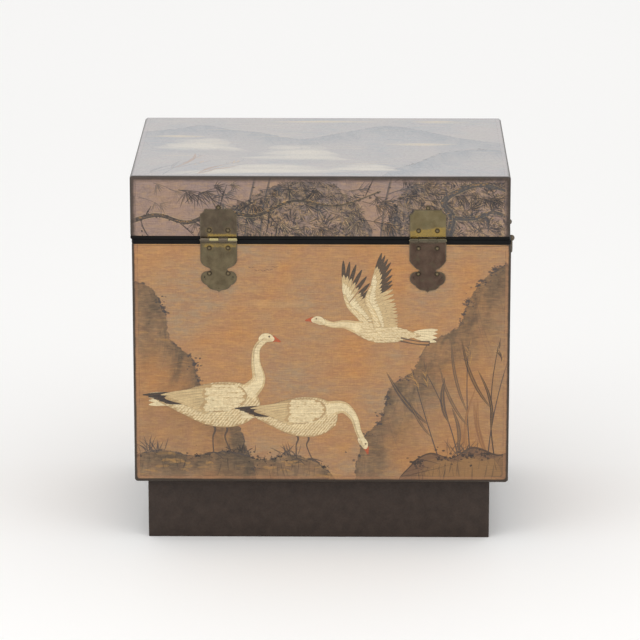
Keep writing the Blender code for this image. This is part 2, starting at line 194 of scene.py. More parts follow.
def add_lamp(name, place, aim, size, power):
    light = bpy.data.lights.new(name, "AREA")
    light.shape = "RECTANGLE"
    light.size, light.size_y = size
    light.energy = power
    lamp = bpy.data.objects.new(name, light)
    lamp.location = place
    lamp.rotation_euler = (Vector(aim) - Vector(place)).to_track_quat("-Z", "Y").to_euler()
    bring_in(lamp)


add_floor()
add_lamp("lamp_overhead", (0.0, -1.4, 3.4), (0.0, -0.4, 0.0), (4.0, 3.0), 26.0)
add_lamp("lamp_left", (-3.2, -2.6, 2.0), (0.0, 0.0, 0.35), (2.2, 2.6), 21.0)
add_lamp("lamp_right", (3.2, -2.6, 1.8), (0.0, 0.0, 0.35), (2.2, 2.6), 16.5)
add_lamp("lamp_back", (0.0, 5.0, 3.2), (0.0, 4.4, 0.0), (8.0, 4.0), 24.0)
world = bpy.data.worlds.new("studio_air")
world.use_nodes = True
world.node_tree.nodes["Background"].inputs["Color"].default_value = (1.0, 1.0, 1.0, 1.0)
world.node_tree.nodes["Background"].inputs["Strength"].default_value = 0.84
bpy.context.scene.world = world
bpy.context.scene.view_settings.view_transform = "Standard"

# %% [markdown]
# ## The camera
# A long lens, set well back and a little above, sees the front square on and the lid as a
# narrow strip. Its place was worked out from the chest's straight edges.

# %% Set the camera
CAMERA_FROM_FRONT = Vector((0.0613, -5.7376, 1.9178))
CAMERA_LENS = 206.995
CAMERA_DIP = 15.035
CAMERA_TURN = 0.634
camera_data = bpy.data.cameras.new("camera")
camera_data.lens = CAMERA_LENS
camera_data.sensor_width = 36.0
camera = bpy.data.objects.new("camera", camera_data)
camera.location = CAMERA_FROM_FRONT + Vector((0.0, body_low.y, 0.0))
camera.rotation_euler = (math.radians(90 - CAMERA_DIP), 0.0, math.radians(CAMERA_TURN))
bring_in(camera)
bpy.context.scene.camera = camera


# %% [markdown]
# ## Building materials from nodes
# A finish is a small network: patterns that vary over the surface are mixed into a colour, a
# roughness and a height. These helpers add one node each, and set or link its inputs.

# %% Node helpers
def set_inputs(tree, node, inputs):
    """Set or link a node's inputs, by name or number."""
    for key, value in inputs.items():
        if isinstance(value, bpy.types.NodeSocket):
            tree.links.new(value, node.inputs[key])
        else:
            node.inputs[key].default_value = value


def add_node(tree, kind, inputs=None, **settings):
    node = tree.nodes.new(kind)
    for key, value in settings.items():
        setattr(node, key, value)
    set_inputs(tree, node, inputs or {})
    return node


def mix(tree, share, low, high, blend="MIX"):
    """Mix two colours."""
    node = add_node(
        tree, "ShaderNodeMix", {0: share, 6: low, 7: high}, data_type="RGBA", blend_type=blend,
    )
    return node.outputs[2]


def maths(tree, operation, first, second=0.0, clamp=False):
    node = add_node(tree, "ShaderNodeMath", {0: first, 1: second}, operation=operation, use_clamp=clamp)
    return node.outputs[0]


def times(tree, first, second):
    return maths(tree, "MULTIPLY", first, second)


def plus(tree, first, second, clamp=False):
    return maths(tree, "ADD", first, second, clamp)


def minus(tree, first, second):
    return maths(tree, "SUBTRACT", first, second)


def spread(tree, value, low, high, to_low=0.0, to_high=1.0):
    """Turn a stretch of values into another one, with a soft start and end."""
    inputs = {0: value, 1: low, 2: high, 3: to_low, 4: to_high}
    return add_node(tree, "ShaderNodeMapRange", inputs, interpolation_type="SMOOTHSTEP").outputs[0]


def stretch(tree, vector, scale):
    node = add_node(tree, "ShaderNodeMapping", {"Vector": vector, "Scale": scale})
    return node.outputs[0]


def noise(tree, vector, scale, detail=2.0, rough=0.5, twist=0.0):
    inputs = {
        "Vector": vector, "Scale": scale, "Detail": detail, "Roughness": rough, "Distortion": twist,
    }
    return add_node(tree, "ShaderNodeTexNoise", inputs).outputs["Fac"]


def stretched_noise(tree, vector, scale, detail, rough, twist=0.0):
    return noise(tree, stretch(tree, vector, scale), 1.0, detail, rough, twist)


def reading(tree, name):
    """A value that a piece carries on its points or faces."""
    return add_node(tree, "ShaderNodeAttribute", attribute_name=name).outputs["Fac"]


def object_place(tree):
    return add_node(tree, "ShaderNodeTexCoord").outputs["Object"]


def new_material(name, **values):
    """A material with one Principled shader, its plain values set on the shader itself."""
    material = bpy.data.materials.new(name)
    material.use_nodes = True
    tree = material.node_tree
    shader = tree.nodes["Principled BSDF"]
    for key, value in values.items():
        label = key.replace("_", " ").title().replace("Ior", "IOR")
        shader.inputs[label].default_value = value
    return material, tree, shader


def feed(tree, shader, **sockets):
    for key, socket in sockets.items():
        tree.links.new(socket, shader.inputs[key.replace("_", " ").title()])


def node_group(name, inputs, outputs):
    """Build a node group with named inputs (name, kind, value) and outputs (name, kind)."""
    def build(fill):
        group = bpy.data.node_groups.new(name, "ShaderNodeTree")
        sockets = group.interface.new_socket
        for label, kind, value in inputs:
            socket = sockets(label, in_out="INPUT", socket_type="NodeSocket" + kind)
            if value is not None:
                socket.default_value = value
        for label, kind in outputs:
            sockets(label, in_out="OUTPUT", socket_type="NodeSocket" + kind)
        start = group.nodes.new("NodeGroupInput")
        end = group.nodes.new("NodeGroupOutput")
        fill(group, start.outputs, end.inputs)
        print("group made:", name)
        return group
    return build


def use_group(tree, group, inputs):
    node = add_node(tree, "ShaderNodeGroup", node_tree=group)
    set_inputs(tree, node, inputs)
    return node.outputs


def height_to_normal(tree, height, depth):
    node = add_node(tree, "ShaderNodeBump", {"Height": height, "Distance": depth, "Strength": 1.0})
    return node.outputs["Normal"]


# %% [markdown]
# ## Finishes: one place for the common patterns
# Old lacquer is never one flat colour. Two groups give what all the finishes share: a cloudy
# unevenness, and fine dust-like specks.

# %% Group: cloudy unevenness
@node_group(
    "clouds",
    [("Vector", "Vector", None), ("Size", "Float", 0.02), ("Contrast", "Float", 1.0)],
    [("Broad", "Float"), ("Fine", "Float")],
)
def clouds_group(group, given, out):
    scale = maths(group, "DIVIDE", 1.0, given["Size"])
    broad = noise(group, given["Vector"], scale, 3.0, 0.55, 0.3)
    fine = noise(group, given["Vector"], times(group, scale, 7.0), 4.0, 0.6)
    for label, value in (("Broad", broad), ("Fine", fine)):
        centred = minus(group, value, 0.5)
        widened = times(group, centred, times(group, given["Contrast"], 2.0))
        group.links.new(plus(group, widened, 0.5, clamp=True), out[label])


# %% Group: specks
@node_group(
    "specks",
    [("Vector", "Vector", None), ("Size", "Float", 0.001), ("Share", "Float", 0.2)],
    [("Mask", "Float")],
)
def specks_group(group, given, out):
    scale = maths(group, "DIVIDE", 1.0, given["Size"])
    value = noise(group, given["Vector"], scale, 2.0, 0.7)
    edge = minus(group, 0.72, times(group, given["Share"], 0.3))
    end = plus(group, edge, 0.05)
    group.links.new(spread(group, value, edge, end), out["Mask"])


# %% [markdown]
# ## The lacquers
# The edges of the box show the dark brown lacquer of its ground, rubbed a little lighter
# where hands touch it. The rims at the mouth are black. The inside is black too, and duller.
# The plinth is painted wood, with the faint pimples that a roller leaves.

# %% Lacquer and paint
def make_lacquer(name, colour, worn, roughness, worn_roughness, size, bump, shine=0.5):
    material, tree, shader = new_material(name, roughness=roughness, specular_ior_level=shine)
    place = object_place(tree)
    clouds = use_group(tree, clouds_group, {"Vector": place, "Size": size, "Contrast": 1.3})
    specks = use_group(tree, specks_group, {"Vector": place, "Size": 0.0012, "Share": 0.35})
    base = mix(tree, clouds["Broad"], colour, worn)
    dusty = mix(tree, times(tree, specks["Mask"], 0.35), base, worn)
    rough = spread(tree, clouds["Fine"], 0.2, 0.8, roughness, worn_roughness)
    pimples = noise(tree, place, 900.0, 3.0, 0.6)
    grain = plus(tree, pimples, times(tree, clouds["Fine"], 0.6))
    feed(tree, shader, base_color=dusty, roughness=rough, normal=height_to_normal(tree, grain, bump))
    return material


edge_lacquer = make_lacquer(
    "edge_lacquer", (0.030, 0.021, 0.014, 1), (0.060, 0.042, 0.027, 1), 0.42, 0.55, 0.03, 0.00003, 0.4,
)
rim_lacquer = make_lacquer(
    "rim_lacquer", (0.0038, 0.0035, 0.0034, 1), (0.0068, 0.0063, 0.0061, 1), 0.42, 0.55, 0.03, 0.00002,
    0.12,
)
inside_lacquer = make_lacquer(
    "inside_lacquer", (0.014, 0.012, 0.011, 1), (0.024, 0.021, 0.019, 1), 0.5, 0.62, 0.04, 0.00004,
)
plinth_paint = make_lacquer(
    "plinth_paint", (0.029, 0.018, 0.0128, 1), (0.044, 0.028, 0.0205, 1), 0.5, 0.66, 0.018, 0.00010,
    0.35,
)
print("lacquers made: edge, rim, inside, plinth")


# %% [markdown]
# ## The two boxes
# Body and lid are glued up from thin boards. Each starts as a block whose outer edges are
# rounded by a bevel, and a smaller block is cut out of it, so the walls have a true thickness.
# The painted sheets lie on top, so each block is smaller by their thickness where one lies.

# %% Body and lid
def faces_up(piece, direction, share=0.9):
    """The faces of an editable mesh that look in a direction."""
    return [face for face in piece.faces if face.normal.dot(direction) > share]


def edges_where(piece, test):
    """The edges whose two ends both pass a test."""
    return [edge for edge in piece.edges if all(test(vert.co) for vert in edge.verts)]


def round_outer_edges(piece, flat_z, radius, segments=6):
    """Round the upright edges, and the edges round the closed end, of a block."""
    mesh = edit(piece, "EDGE")
    upright = [edge for edge in mesh.edges if abs(edge.verts[0].co.z - edge.verts[1].co.z) > 0.001]
    closed_end = edges_where(mesh, lambda place: abs(place.z - flat_z) < 1e-5)
    pick(piece, upright + closed_end)
    round_picked(radius, segments)


def paint_inside(piece, low, high):
    """Give the faces inside the walls the inside lacquer."""
    piece.data.materials.append(edge_lacquer)
    piece.data.materials.append(inside_lacquer)
    margin = WALL * 0.5
    for face in piece.data.polygons:
        centre = face.center
        inside_x = low.x + margin < centre.x < high.x - margin
        inside_y = low.y + margin < centre.y < high.y - margin
        outer_end = min(abs(centre.z - low.z), abs(centre.z - high.z)) < margin * 0.5
        face.material_index = 1 if inside_x and inside_y and not outer_end else 0


def make_box(name, low, high, open_side):
    """A box of thin boards, open above (+1) or below (-1)."""
    papered = Vector((PAPER, PAPER, 0.0))
    outer_low, outer_high = low + papered, high - papered
    if open_side < 0:
        outer_high.z -= PAPER
    box = add_block(name, outer_low, outer_high)
    closed_z = outer_low.z if open_side > 0 else outer_high.z
    round_outer_edges(box, closed_z, EDGE_RADIUS - PAPER)
    walls = Vector((WALL, WALL, 0.0))
    hollow_low, hollow_high = outer_low + walls, outer_high - walls
    if open_side > 0:
        hollow_low.z += WALL
        hollow_high.z += WALL
    else:
        hollow_low.z -= WALL
        hollow_high.z -= WALL
    cut_away(box, add_block(name + "_hollow", hollow_low, hollow_high))
    paint_inside(box, low, high)
    smooth_by_angle(box)
    return box


chest_box = make_box("body_box", body_low, body_high, 1)
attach(chest_box, "chest")
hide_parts("chest_body")
lid_box = make_box("lid_box", lid_low, lid_high, -1)
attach(lid_box, "lid")
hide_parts("lid")
print("boxes:", len(chest_box.data.polygons), "and", len(lid_box.data.polygons), "faces")


# %% [markdown]
# ## The rims and the plinth
# A rim is a flat frame: a thin block with a smaller one cut out of it. Its edges are eased,
# so each catches a fine line of light along the dark seam. The plinth is a deeper frame of
# boards, and its corners are hardly rounded.

# %% Rims and plinth
def make_frame(name, low, high, board, corner, ease, finish):
    ring = add_block(name, low, high)
    mesh = edit(ring, "EDGE")
    pick(ring, [edge for edge in mesh.edges if abs(edge.verts[0].co.z - edge.verts[1].co.z) > 0.001])
    round_picked(corner, 5)
    boards = Vector((board, board, 0.0))
    past = Vector((0.0, 0.0, 0.01))
    cut_away(ring, add_block(name + "_opening", low + boards - past, high - boards + past))
    mesh = edit(ring, "EDGE")
    ends = [
        edge for edge in mesh.edges
        if edge.calc_face_angle(0.0) > 0.8 and abs(edge.verts[0].co.z - edge.verts[1].co.z) < 1e-5
    ]
    pick(ring, ends)
    round_picked(ease, 3)
    ring.data.materials.append(finish)
    smooth_by_angle(ring)
    return ring


RIM_EASE = 0.0011
PLINTH_BOARD, PLINTH_CORNER, PLINTH_EASE = 0.018, 0.002, 0.0007
body_rim = make_frame("body_rim_frame", body_rim_low, body_rim_high, WALL, EDGE_RADIUS, RIM_EASE,
                      rim_lacquer)
lid_rim = make_frame("lid_rim_frame", lid_rim_low, lid_rim_high, WALL, EDGE_RADIUS, RIM_EASE,
                     rim_lacquer)
plinth = make_frame("plinth_frame", plinth_low, plinth_high, PLINTH_BOARD, PLINTH_CORNER, PLINTH_EASE,
                    plinth_paint)
for piece, body, node, finish_slot in (
    (body_rim, "chest", "body_rim", "black_lacquer"),
    (lid_rim, "lid", "lid_rim", "black_lacquer"),
    (plinth, "chest", "plinth", "plinth_paint"),
):
    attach(piece, body)
    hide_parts(node)
print("frames:", body_rim.name, lid_rim.name, plinth.name)


# %% [markdown]
# ## How a painted sheet is made
# The real sheets carry a painting. Here each is a thin flat mesh, and every brush stroke is a
# region of its faces. The outline, an even lattice of points and the outlines of all strokes
# are joined into triangles at once, so a stroke has an edge as crisp as a real one's. Each
# triangle takes the colour and the cover of the strokes that lie over it, in their order.
# A sheet's own two directions, in metres, are its UV map, so no pattern is stretched.

# %% Lines and outlines in the plane of a sheet
TAU = 2 * math.pi


def curve_through(points, steps, closed=False):
    """A smooth line through points: a Catmull-Rom curve with a few steps in each stretch."""
    points = [np.array(point, float) for point in points]
    count = len(points)
    last = count if closed else count - 1
    line = []
    for i in range(last):
        if closed:
            before, start, end, after = (points[(i + k) % count] for k in (-1, 0, 1, 2))
        else:
            before, start = points[max(i - 1, 0)], points[i]
            end, after = points[i + 1], points[min(i + 2, count - 1)]
        for step in range(steps):
            t = step / steps
            line.append(0.5 * (
                2 * start + (end - before) * t
                + (2 * before - 5 * start + 4 * end - after) * t * t
                + (3 * start - before - 3 * end + after) * t ** 3
            ))
    if not closed:
        line.append(points[-1])
    return line


def heading(angle):
    return np.array((math.cos(angle), math.sin(angle)))


def normals_of(line, closed=False):
    """The unit vector to the left of a line at each of its points."""
    count = len(line)
    found = []
    for i in range(count):
        before = line[(i - 1) % count] if closed else line[max(i - 1, 0)]
        after = line[(i + 1) % count] if closed else line[min(i + 1, count - 1)]
        along = after - before
        length = max(math.hypot(*along), 1e-9)
        found.append(np.array((-along[1], along[0])) / length)
    return found


def grow(loop, distance):
    """The outline moved outward. Outlines run anticlockwise, so outward is to the right."""
    area = sum(a[0] * b[1] - b[0] * a[1] for a, b in zip(loop, loop[1:] + loop[:1]))
    side = -1.0 if area > 0 else 1.0
    return [p + n * side * distance for p, n in zip(loop, normals_of(loop, True))]


def ribbon(points, widths, steps=5):
    """The outline of one brush stroke: a smooth line whose width changes along it."""
    line = curve_through(points, steps)
    share = np.linspace(0.0, 1.0, len(line))
    wide = np.interp(share, np.linspace(0.0, 1.0, len(widths)), widths)
    sides = normals_of(line)
    left = [p + n * w / 2 for p, n, w in zip(line, sides, wide)]
    right = [p - n * w / 2 for p, n, w in zip(line, sides, wide)]
    return left + right[::-1]


def leaf(root, angle, length, width, bend=0.0, steps=3):
    """A pointed blade from its root, its middle line bent to one side."""
    along = heading(angle)
    across = np.array((-along[1], along[0]))
    root = np.array(root, float)
    spine = [root + along * length * s + across * bend * length * s * s for s in (0, 0.3, 0.65, 1.0)]
    return ribbon(spine, (width * 0.12, width * 0.8, width, width * 0.7, 0.0001), steps)


def blob(centre, radius, dice, points=7, flat=1.0):
    """A small uneven dot."""
    turn = dice.uniform(0, TAU)
    loop = []
    for i in range(points):
        angle = turn + TAU * i / points
        reach = radius * dice.uniform(0.7, 1.2)
        loop.append(np.array((centre[0] + reach * math.cos(angle),
                              centre[1] + reach * flat * math.sin(angle))))
    return loop


def is_inside(point, loop):
    x, y = point
    inside = False
    for a, b in zip(loop, loop[1:] + loop[:1]):
        if (a[1] > y) != (b[1] > y) and x < a[0] + (y - a[1]) * (b[0] - a[0]) / (b[1] - a[1]):
            inside = not inside
    return inside


# %% A sheet, and the strokes on it
INK = (0.022, 0.020, 0.022)
SOFT_INK = (0.060, 0.050, 0.048)
CREAM = (0.66, 0.49, 0.25)
PALE_CREAM = (0.84, 0.70, 0.42)
RUST = (0.55, 0.10, 0.035)
RUST_BROWN = (0.26, 0.12, 0.055)
OCHRE = (0.50, 0.27, 0.08)
GREY_BLUE = (0.14, 0.15, 0.17)
LATTICE = 0.004
HEM = EDGE_RADIUS - SHEET_INSET
BORDER_ROUND = 0.0065
FOOT_BAND = 0.0014
SLOPES = ("far_slope", "middle_slope", "near_slope")


def new_sheet(width, height, open_side, seed):
    """An empty sheet. At its open side it stops at a rim, at the others it turns round an edge."""
    return {
        "size": (width, height), "open": open_side, "strokes": [], "slopes": {},
        "dice": random.Random(seed),
    }


def lay(sheet, loop, colour, cover=1.0):
    """Lay one stroke on a sheet, over those already there."""
    sheet["strokes"].append((loop, colour, cover))


def brush(sheet, points, widths, steps, colour, cover=1.0):
    """Lay one stroke of the brush along a smooth line."""
    lay(sheet, ribbon(points, widths, steps), colour, cover)


def add_slope(sheet, name, contour, closing):
    """A hillside: its upper contour, and the points that close it below or at a side."""
    line = curve_through(contour, 6)
    sheet["slopes"][name] = (line, [np.array(point, float) for point in closing])
    return line


def distance_inside(points, line, closing):
    """How far inside a hillside each point lies; points outside it come out negative."""
    nearest = np.full(len(points), 9.0)
    for a, b in zip(line[:-1], line[1:]):
        step = b - a
        share = np.clip(((points - a) @ step) / max(step @ step, 1e-12), 0.0, 1.0)
        nearest = np.minimum(nearest, np.linalg.norm(points - (a + share[:, None] * step), axis=1))
    loop = np.array(line + closing)
    inside = np.zeros(len(points), bool)
    for a, b in zip(loop, np.roll(loop, -1, axis=0)):
        if a[1] == b[1]:
            continue
        spans = (a[1] > points[:, 1]) != (b[1] > points[:, 1])
        crossing = a[0] + (points[:, 1] - a[1]) * (b[0] - a[0]) / (b[1] - a[1])
        inside ^= spans & (points[:, 0] < crossing)
    return np.where(inside, nearest, -nearest)


def sheet_outline(sheet, inset=0.0):
    """The outline of a sheet, or a line inside it. Corners at the open side are square."""
    width, height = sheet["size"]
    outline = []
    for right, top, start in ((1, 0, -90), (1, 1, 0), (0, 1, 90), (0, 0, 180)):
        square = sheet["open"] == ("top" if top else "bottom")
        bend = 0.0 if square else max(HEM - inset, 0.0)
        x = width - inset - bend if right else inset + bend
        y = height - inset - bend if top else inset + bend
        for step in range(7 if bend > 0 else 1):
            angle = math.radians(start + 15 * step)
            outline.append((x + bend * math.cos(angle), y + bend * math.sin(angle)))
    return outline


def sink(sheet, flat):
    """How far each point drops behind the flat, where the sheet turns round the box's edges."""
    width, height = sheet["size"]
    across = np.minimum(flat[:, 0], width - flat[:, 0])
    below = flat[:, 1] if sheet["open"] != "bottom" else np.full(len(flat), 1.0)
    above = height - flat[:, 1] if sheet["open"] != "top" else np.full(len(flat), 1.0)
    turned = [np.clip(HEM - gap, 0.0, HEM) for gap in (across, np.minimum(below, above))]
    return EDGE_RADIUS - np.sqrt(EDGE_RADIUS ** 2 - np.minimum(np.hypot(*turned), HEM) ** 2)


# %% Turn a sheet into a mesh
def join_strokes(sheet):
    """Triangles over the whole sheet, with each stroke's outline among their edges."""
    width, height = sheet["size"]
    points = sheet_outline(sheet)
    outline = list(range(len(points)))
    edges = []
    turns = [HEM - EDGE_RADIUS * math.sin(math.radians(angle)) for angle in (25.5, 17.0, 8.5, 0.0)]
    rings = [sheet_outline(sheet, inset) for inset in turns]
    for loop in rings + [stroke[0] for stroke in sheet["strokes"]]:
        first, count = len(points), len(loop)
        edges += [(first + i, first + (i + 1) % count) for i in range(count)]
        points += [(float(x), float(y)) for x, y in loop]
    columns = max(2, round(width / LATTICE))
    rows = max(2, round(height / LATTICE))
    for row in range(1, rows):
        shift = 0.25 if row % 2 else -0.25
        for column in range(1, columns):
            points.append(((column + shift) * width / columns, row * height / rows))
    made = delaunay_2d_cdt([Vector(point) for point in points], edges, [outline], 0, 1e-6)
    places = np.array([(place.x, place.y) for place in made[0]])
    triangles = np.array([face for face, sources in zip(made[2], made[5]) if sources])
    used, corners = np.unique(triangles, return_inverse=True)
    return places[used], corners.reshape(-1, 3)


def covered_by(loop, centres):
    """Which points, sorted by x, lie inside a loop, by how often it winds round them."""
    loop = np.array(loop)
    low, high = loop.min(0), loop.max(0)
    first, last = np.searchsorted(centres[:, 0], (low[0], high[0]))
    beside = centres[first:last, 1]
    near = first + np.flatnonzero((beside > low[1]) & (beside < high[1]))
    x, y = centres[near, 0:1], centres[near, 1:2]
    start, end = loop, np.roll(loop, -1, axis=0)
    side = (end[:, 0] - start[:, 0]) * (y - start[:, 1]) - (x - start[:, 0]) * (end[:, 1] - start[:, 1])
    rising = (start[:, 1] <= y) & (end[:, 1] > y) & (side > 0)
    falling = (start[:, 1] > y) & (end[:, 1] <= y) & (side < 0)
    return near[rising.sum(1) != falling.sum(1)]


def colour_faces(sheet, centres):
    """The colour and the cover that each face gets from the strokes over it, in their order."""
    order = np.argsort(centres[:, 0])
    sorted_centres = centres[order]
    paint = np.zeros((len(centres), 4))
    for loop, colour, cover in sheet["strokes"]:
        faces = covered_by(loop, sorted_centres)
        total = cover + paint[faces, 3] * (1 - cover)
        share = (cover / total)[:, None]
        paint[faces, :3] = np.array(colour) * share + paint[faces, :3] * (1 - share)
        paint[faces, 3] = total
    return paint[np.argsort(order)]


def edge_distance(sheet, flat):
    """How far each point is from the painted border, which is round at the corners."""
    width, height = sheet["size"]
    across = np.minimum(flat[:, 0], width - flat[:, 0])
    foot = FOOT_BAND if sheet["open"] == "top" else 0.0
    below = flat[:, 1] - foot if sheet["open"] != "bottom" else np.full(len(flat), 1.0)
    above = height - flat[:, 1] if sheet["open"] != "top" else np.full(len(flat), 1.0)
    upright = np.minimum(below, above)
    round_off = np.hypot(np.maximum(BORDER_ROUND - across, 0), np.maximum(BORDER_ROUND - upright, 0))
    return np.where(round_off > 0, BORDER_ROUND - round_off, np.minimum(across, upright))


def make_sheet_mesh(name, sheet, corner, along, up, finish):
    flat, triangles = join_strokes(sheet)
    corner, along, up = (np.array(direction, float) for direction in (corner, along, up))
    mesh = bpy.data.meshes.new(name)
    inward = np.cross(up, along)
    places = corner + flat[:, :1] * along + flat[:, 1:] * up + sink(sheet, flat)[:, None] * inward
    mesh.from_pydata(places.tolist(), [], triangles.tolist())
    piece = bpy.data.objects.new(name, mesh)
    bring_in(piece)
    shift = np.array((sheet["dice"].uniform(1, 9), sheet["dice"].uniform(1, 9)))
    layer = mesh.uv_layers.new(name="sheet")
    layer.data.foreach_set("uv", (flat[triangles.ravel()] + shift).astype("f").ravel())
    paint = np.repeat(colour_faces(sheet, flat[triangles].mean(1)), 3, axis=0)
    pigment = mesh.attributes.new("pigment", "FLOAT_COLOR", "CORNER")
    pigment.data.foreach_set("color", paint.astype("f").ravel())
    readings = {"edge_distance": edge_distance(sheet, flat)}
    for slope in SLOPES:
        given = sheet["slopes"].get(slope)
        readings[slope] = distance_inside(flat, *given) if given else np.full(len(flat), -1.0)
    for label, values in readings.items():
        layer = mesh.attributes.new(label, "FLOAT", "POINT")
        layer.data.foreach_set("value", values.astype("f"))
    mesh.materials.append(finish)
    return piece


def thicken_sheet(piece, sheet, corner, along, up):
    """Give a sheet its thickness: its border is extruded back, drawn in behind it, and closed."""
    corner, along, up = Vector(corner), Vector(along), Vector(up)
    step = up.cross(along) * PAPER * 0.92
    width, height = sheet["size"]
    lowest = 0.0 if sheet["open"] == "bottom" else HEM
    highest = height if sheet["open"] == "top" else height - HEM
    edit(piece, "EDGE")
    bpy.ops.mesh.select_all(action="SELECT")
    bpy.ops.mesh.region_to_loop()
    bpy.ops.mesh.extrude_edges_move(TRANSFORM_OT_translate={"value": step})
    bpy.ops.mesh.extrude_edges_move(TRANSFORM_OT_translate={"value": (0.0, 0.0, 0.0)})
    mesh = bmesh.from_edit_mesh(piece.data)
    for vert in mesh.verts:
        if vert.select:
            place = vert.co - corner
            x = min(max(place.dot(along), HEM), width - HEM)
            y = min(max(place.dot(up), lowest), highest)
            vert.co = corner + along * x + up * y + step
    bmesh.update_edit_mesh(piece.data)
    bpy.ops.mesh.remove_doubles(threshold=SAME_PLACE)
    bpy.ops.mesh.edge_face_add()
    bpy.ops.object.mode_set(mode="OBJECT")


def fix_sheet(name, sheet, corner, along, up, finish, body):
    piece = make_sheet_mesh(name, sheet, corner, along, up, finish)
    thicken_sheet(piece, sheet, corner, along, up)
    smooth_by_angle(piece, 20)
    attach(piece, body)
    print(name, len(sheet["strokes"]), "strokes,", len(piece.data.polygons), "faces")
    return piece


# %% [markdown]
# ## The finish of the painted silk
# Under the lacquer lies silk: golden brown, mottled with rose and olive, its threads showing as
# short level streaks, with pale specks where the ground is rubbed. The hillsides are washes of
# ink. Each starts sharp at its contour and fades downward into the silk.
# The washes and the silk are worked out in the material, from the values that the sheet carries.

# %% Group: threads of silk
@node_group(
    "silk_threads",
    [("Vector", "Vector", None)],
    [("Streaks", "Float"), ("Weave", "Float"), ("Slubs", "Float")],
)
def threads_group(group, given, out):
    place = given["Vector"]
    long_streaks = stretched_noise(group, place, (32.0, 520.0, 1.0), 3.0, 0.6)
    short_streaks = stretched_noise(group, place, (130.0, 1050.0, 1.0), 2.0, 0.6)
    upright_streaks = stretched_noise(group, place, (780.0, 60.0, 1.0), 2.0, 0.6)
    level = plus(group, times(group, long_streaks, 0.42), times(group, short_streaks, 0.36))
    streaks = plus(group, level, times(group, upright_streaks, 0.22))
    group.links.new(spread(group, streaks, 0.38, 0.62), out["Streaks"])
    across = stretched_noise(group, place, (300.0, 1900.0, 1.0), 2.0, 0.6)
    upright = stretched_noise(group, place, (1900.0, 240.0, 1.0), 2.0, 0.6)
    group.links.new(times(group, plus(group, across, upright), 0.5), out["Weave"])
    slubs = stretched_noise(group, place, (120.0, 520.0, 1.0), 4.0, 0.75)
    group.links.new(spread(group, slubs, 0.60, 0.72), out["Slubs"])


# %% Group: a wash of ink that fades into the hill
@node_group(
    "hill_wash",
    [("Distance", "Float", 0.0), ("Vector", "Vector", None), ("Fade", "Float", 0.05),
     ("Line Width", "Float", 0.0012)],
    [("Wash", "Float"), ("Line", "Float")],
)
def wash_group(group, given, out):
    place = given["Vector"]
    wobble = minus(group, noise(group, place, 120.0, 4.0, 0.65), 0.5)
    rough_distance = plus(group, given["Distance"], times(group, wobble, 0.011))
    inside = spread(group, rough_distance, -0.0005, 0.0007)
    deep = maths(group, "DIVIDE", maths(group, "MAXIMUM", given["Distance"], 0.0), given["Fade"])
    fading = maths(group, "POWER", 2.718, times(group, times(group, deep, deep), -1.0))
    folds = stretched_noise(group, place, (30.0, 12.0, 1.0), 3.0, 0.6, 0.8)
    folded = spread(group, folds, 0.3, 0.7, 0.5, 1.2)
    streaky = spread(group, stretched_noise(group, place, (90.0, 420.0, 1.0), 3.0, 0.6),
                     0.3, 0.7, 0.78, 1.12)
    body = times(group, times(group, fading, folded), streaky)
    floor = times(group, folded, 0.20)
    wash = times(group, inside, maths(group, "MAXIMUM", body, floor))
    group.links.new(maths(group, "MINIMUM", wash, 1.0), out["Wash"])
    off_line = maths(group, "DIVIDE", maths(group, "ABSOLUTE", rough_distance), given["Line Width"])
    broken = spread(group, noise(group, place, 60.0, 2.0, 0.5), 0.38, 0.6, 0.1, 1.0)
    line = times(group, spread(group, off_line, 0.3, 1.0, 1.0, 0.0), broken)
    group.links.new(line, out["Line"])


# %% Group: tufts of needles
@node_group(
    "needle_tufts",
    [("Vector", "Vector", None), ("Size", "Float", 0.015), ("Seed", "Float", 0.0)],
    [("Needles", "Float")],
)
def tufts_group(group, given, out):
    """Needles that spread from the middle of each cell of a loose pattern."""
    scale = maths(group, "DIVIDE", 1.0, given["Size"])
    place = add_node(group, "ShaderNodeVectorMath", {0: given["Vector"], 1: given["Seed"]},
                     operation="ADD").outputs[0]
    cells = add_node(group, "ShaderNodeTexVoronoi", {"Vector": place, "Scale": scale},
                     voronoi_dimensions="2D")
    apart = add_node(group, "ShaderNodeVectorMath", {0: place, 1: cells.outputs["Position"]},
                     operation="SUBTRACT")
    parts = add_node(group, "ShaderNodeSeparateXYZ", {0: apart.outputs[0]}).outputs
    turn = maths(group, "ARCTAN2", parts["Y"], parts["X"])
    cell = add_node(group, "ShaderNodeSeparateColor", {0: cells.outputs["Color"]}).outputs
    fan = add_node(group, "ShaderNodeCombineXYZ", {0: times(group, turn, 5.0)})
    group.links.new(times(group, cell[0], 90.0), fan.inputs[1])
    group.links.new(times(group, cells.outputs["Distance"], 0.35), fan.inputs[2])
    strokes = spread(group, noise(group, fan.outputs[0], 1.0, 1.0, 0.6), 0.52, 0.58)
    reach = spread(group, cells.outputs["Distance"], 0.55, 0.85, 1.0, 0.0)
    facing = spread(group, maths(group, "SINE", plus(group, turn, cell[1])), -0.9, -0.2)
    needles = times(group, times(group, strokes, reach), facing)
    group.links.new(needles, out["Needles"])


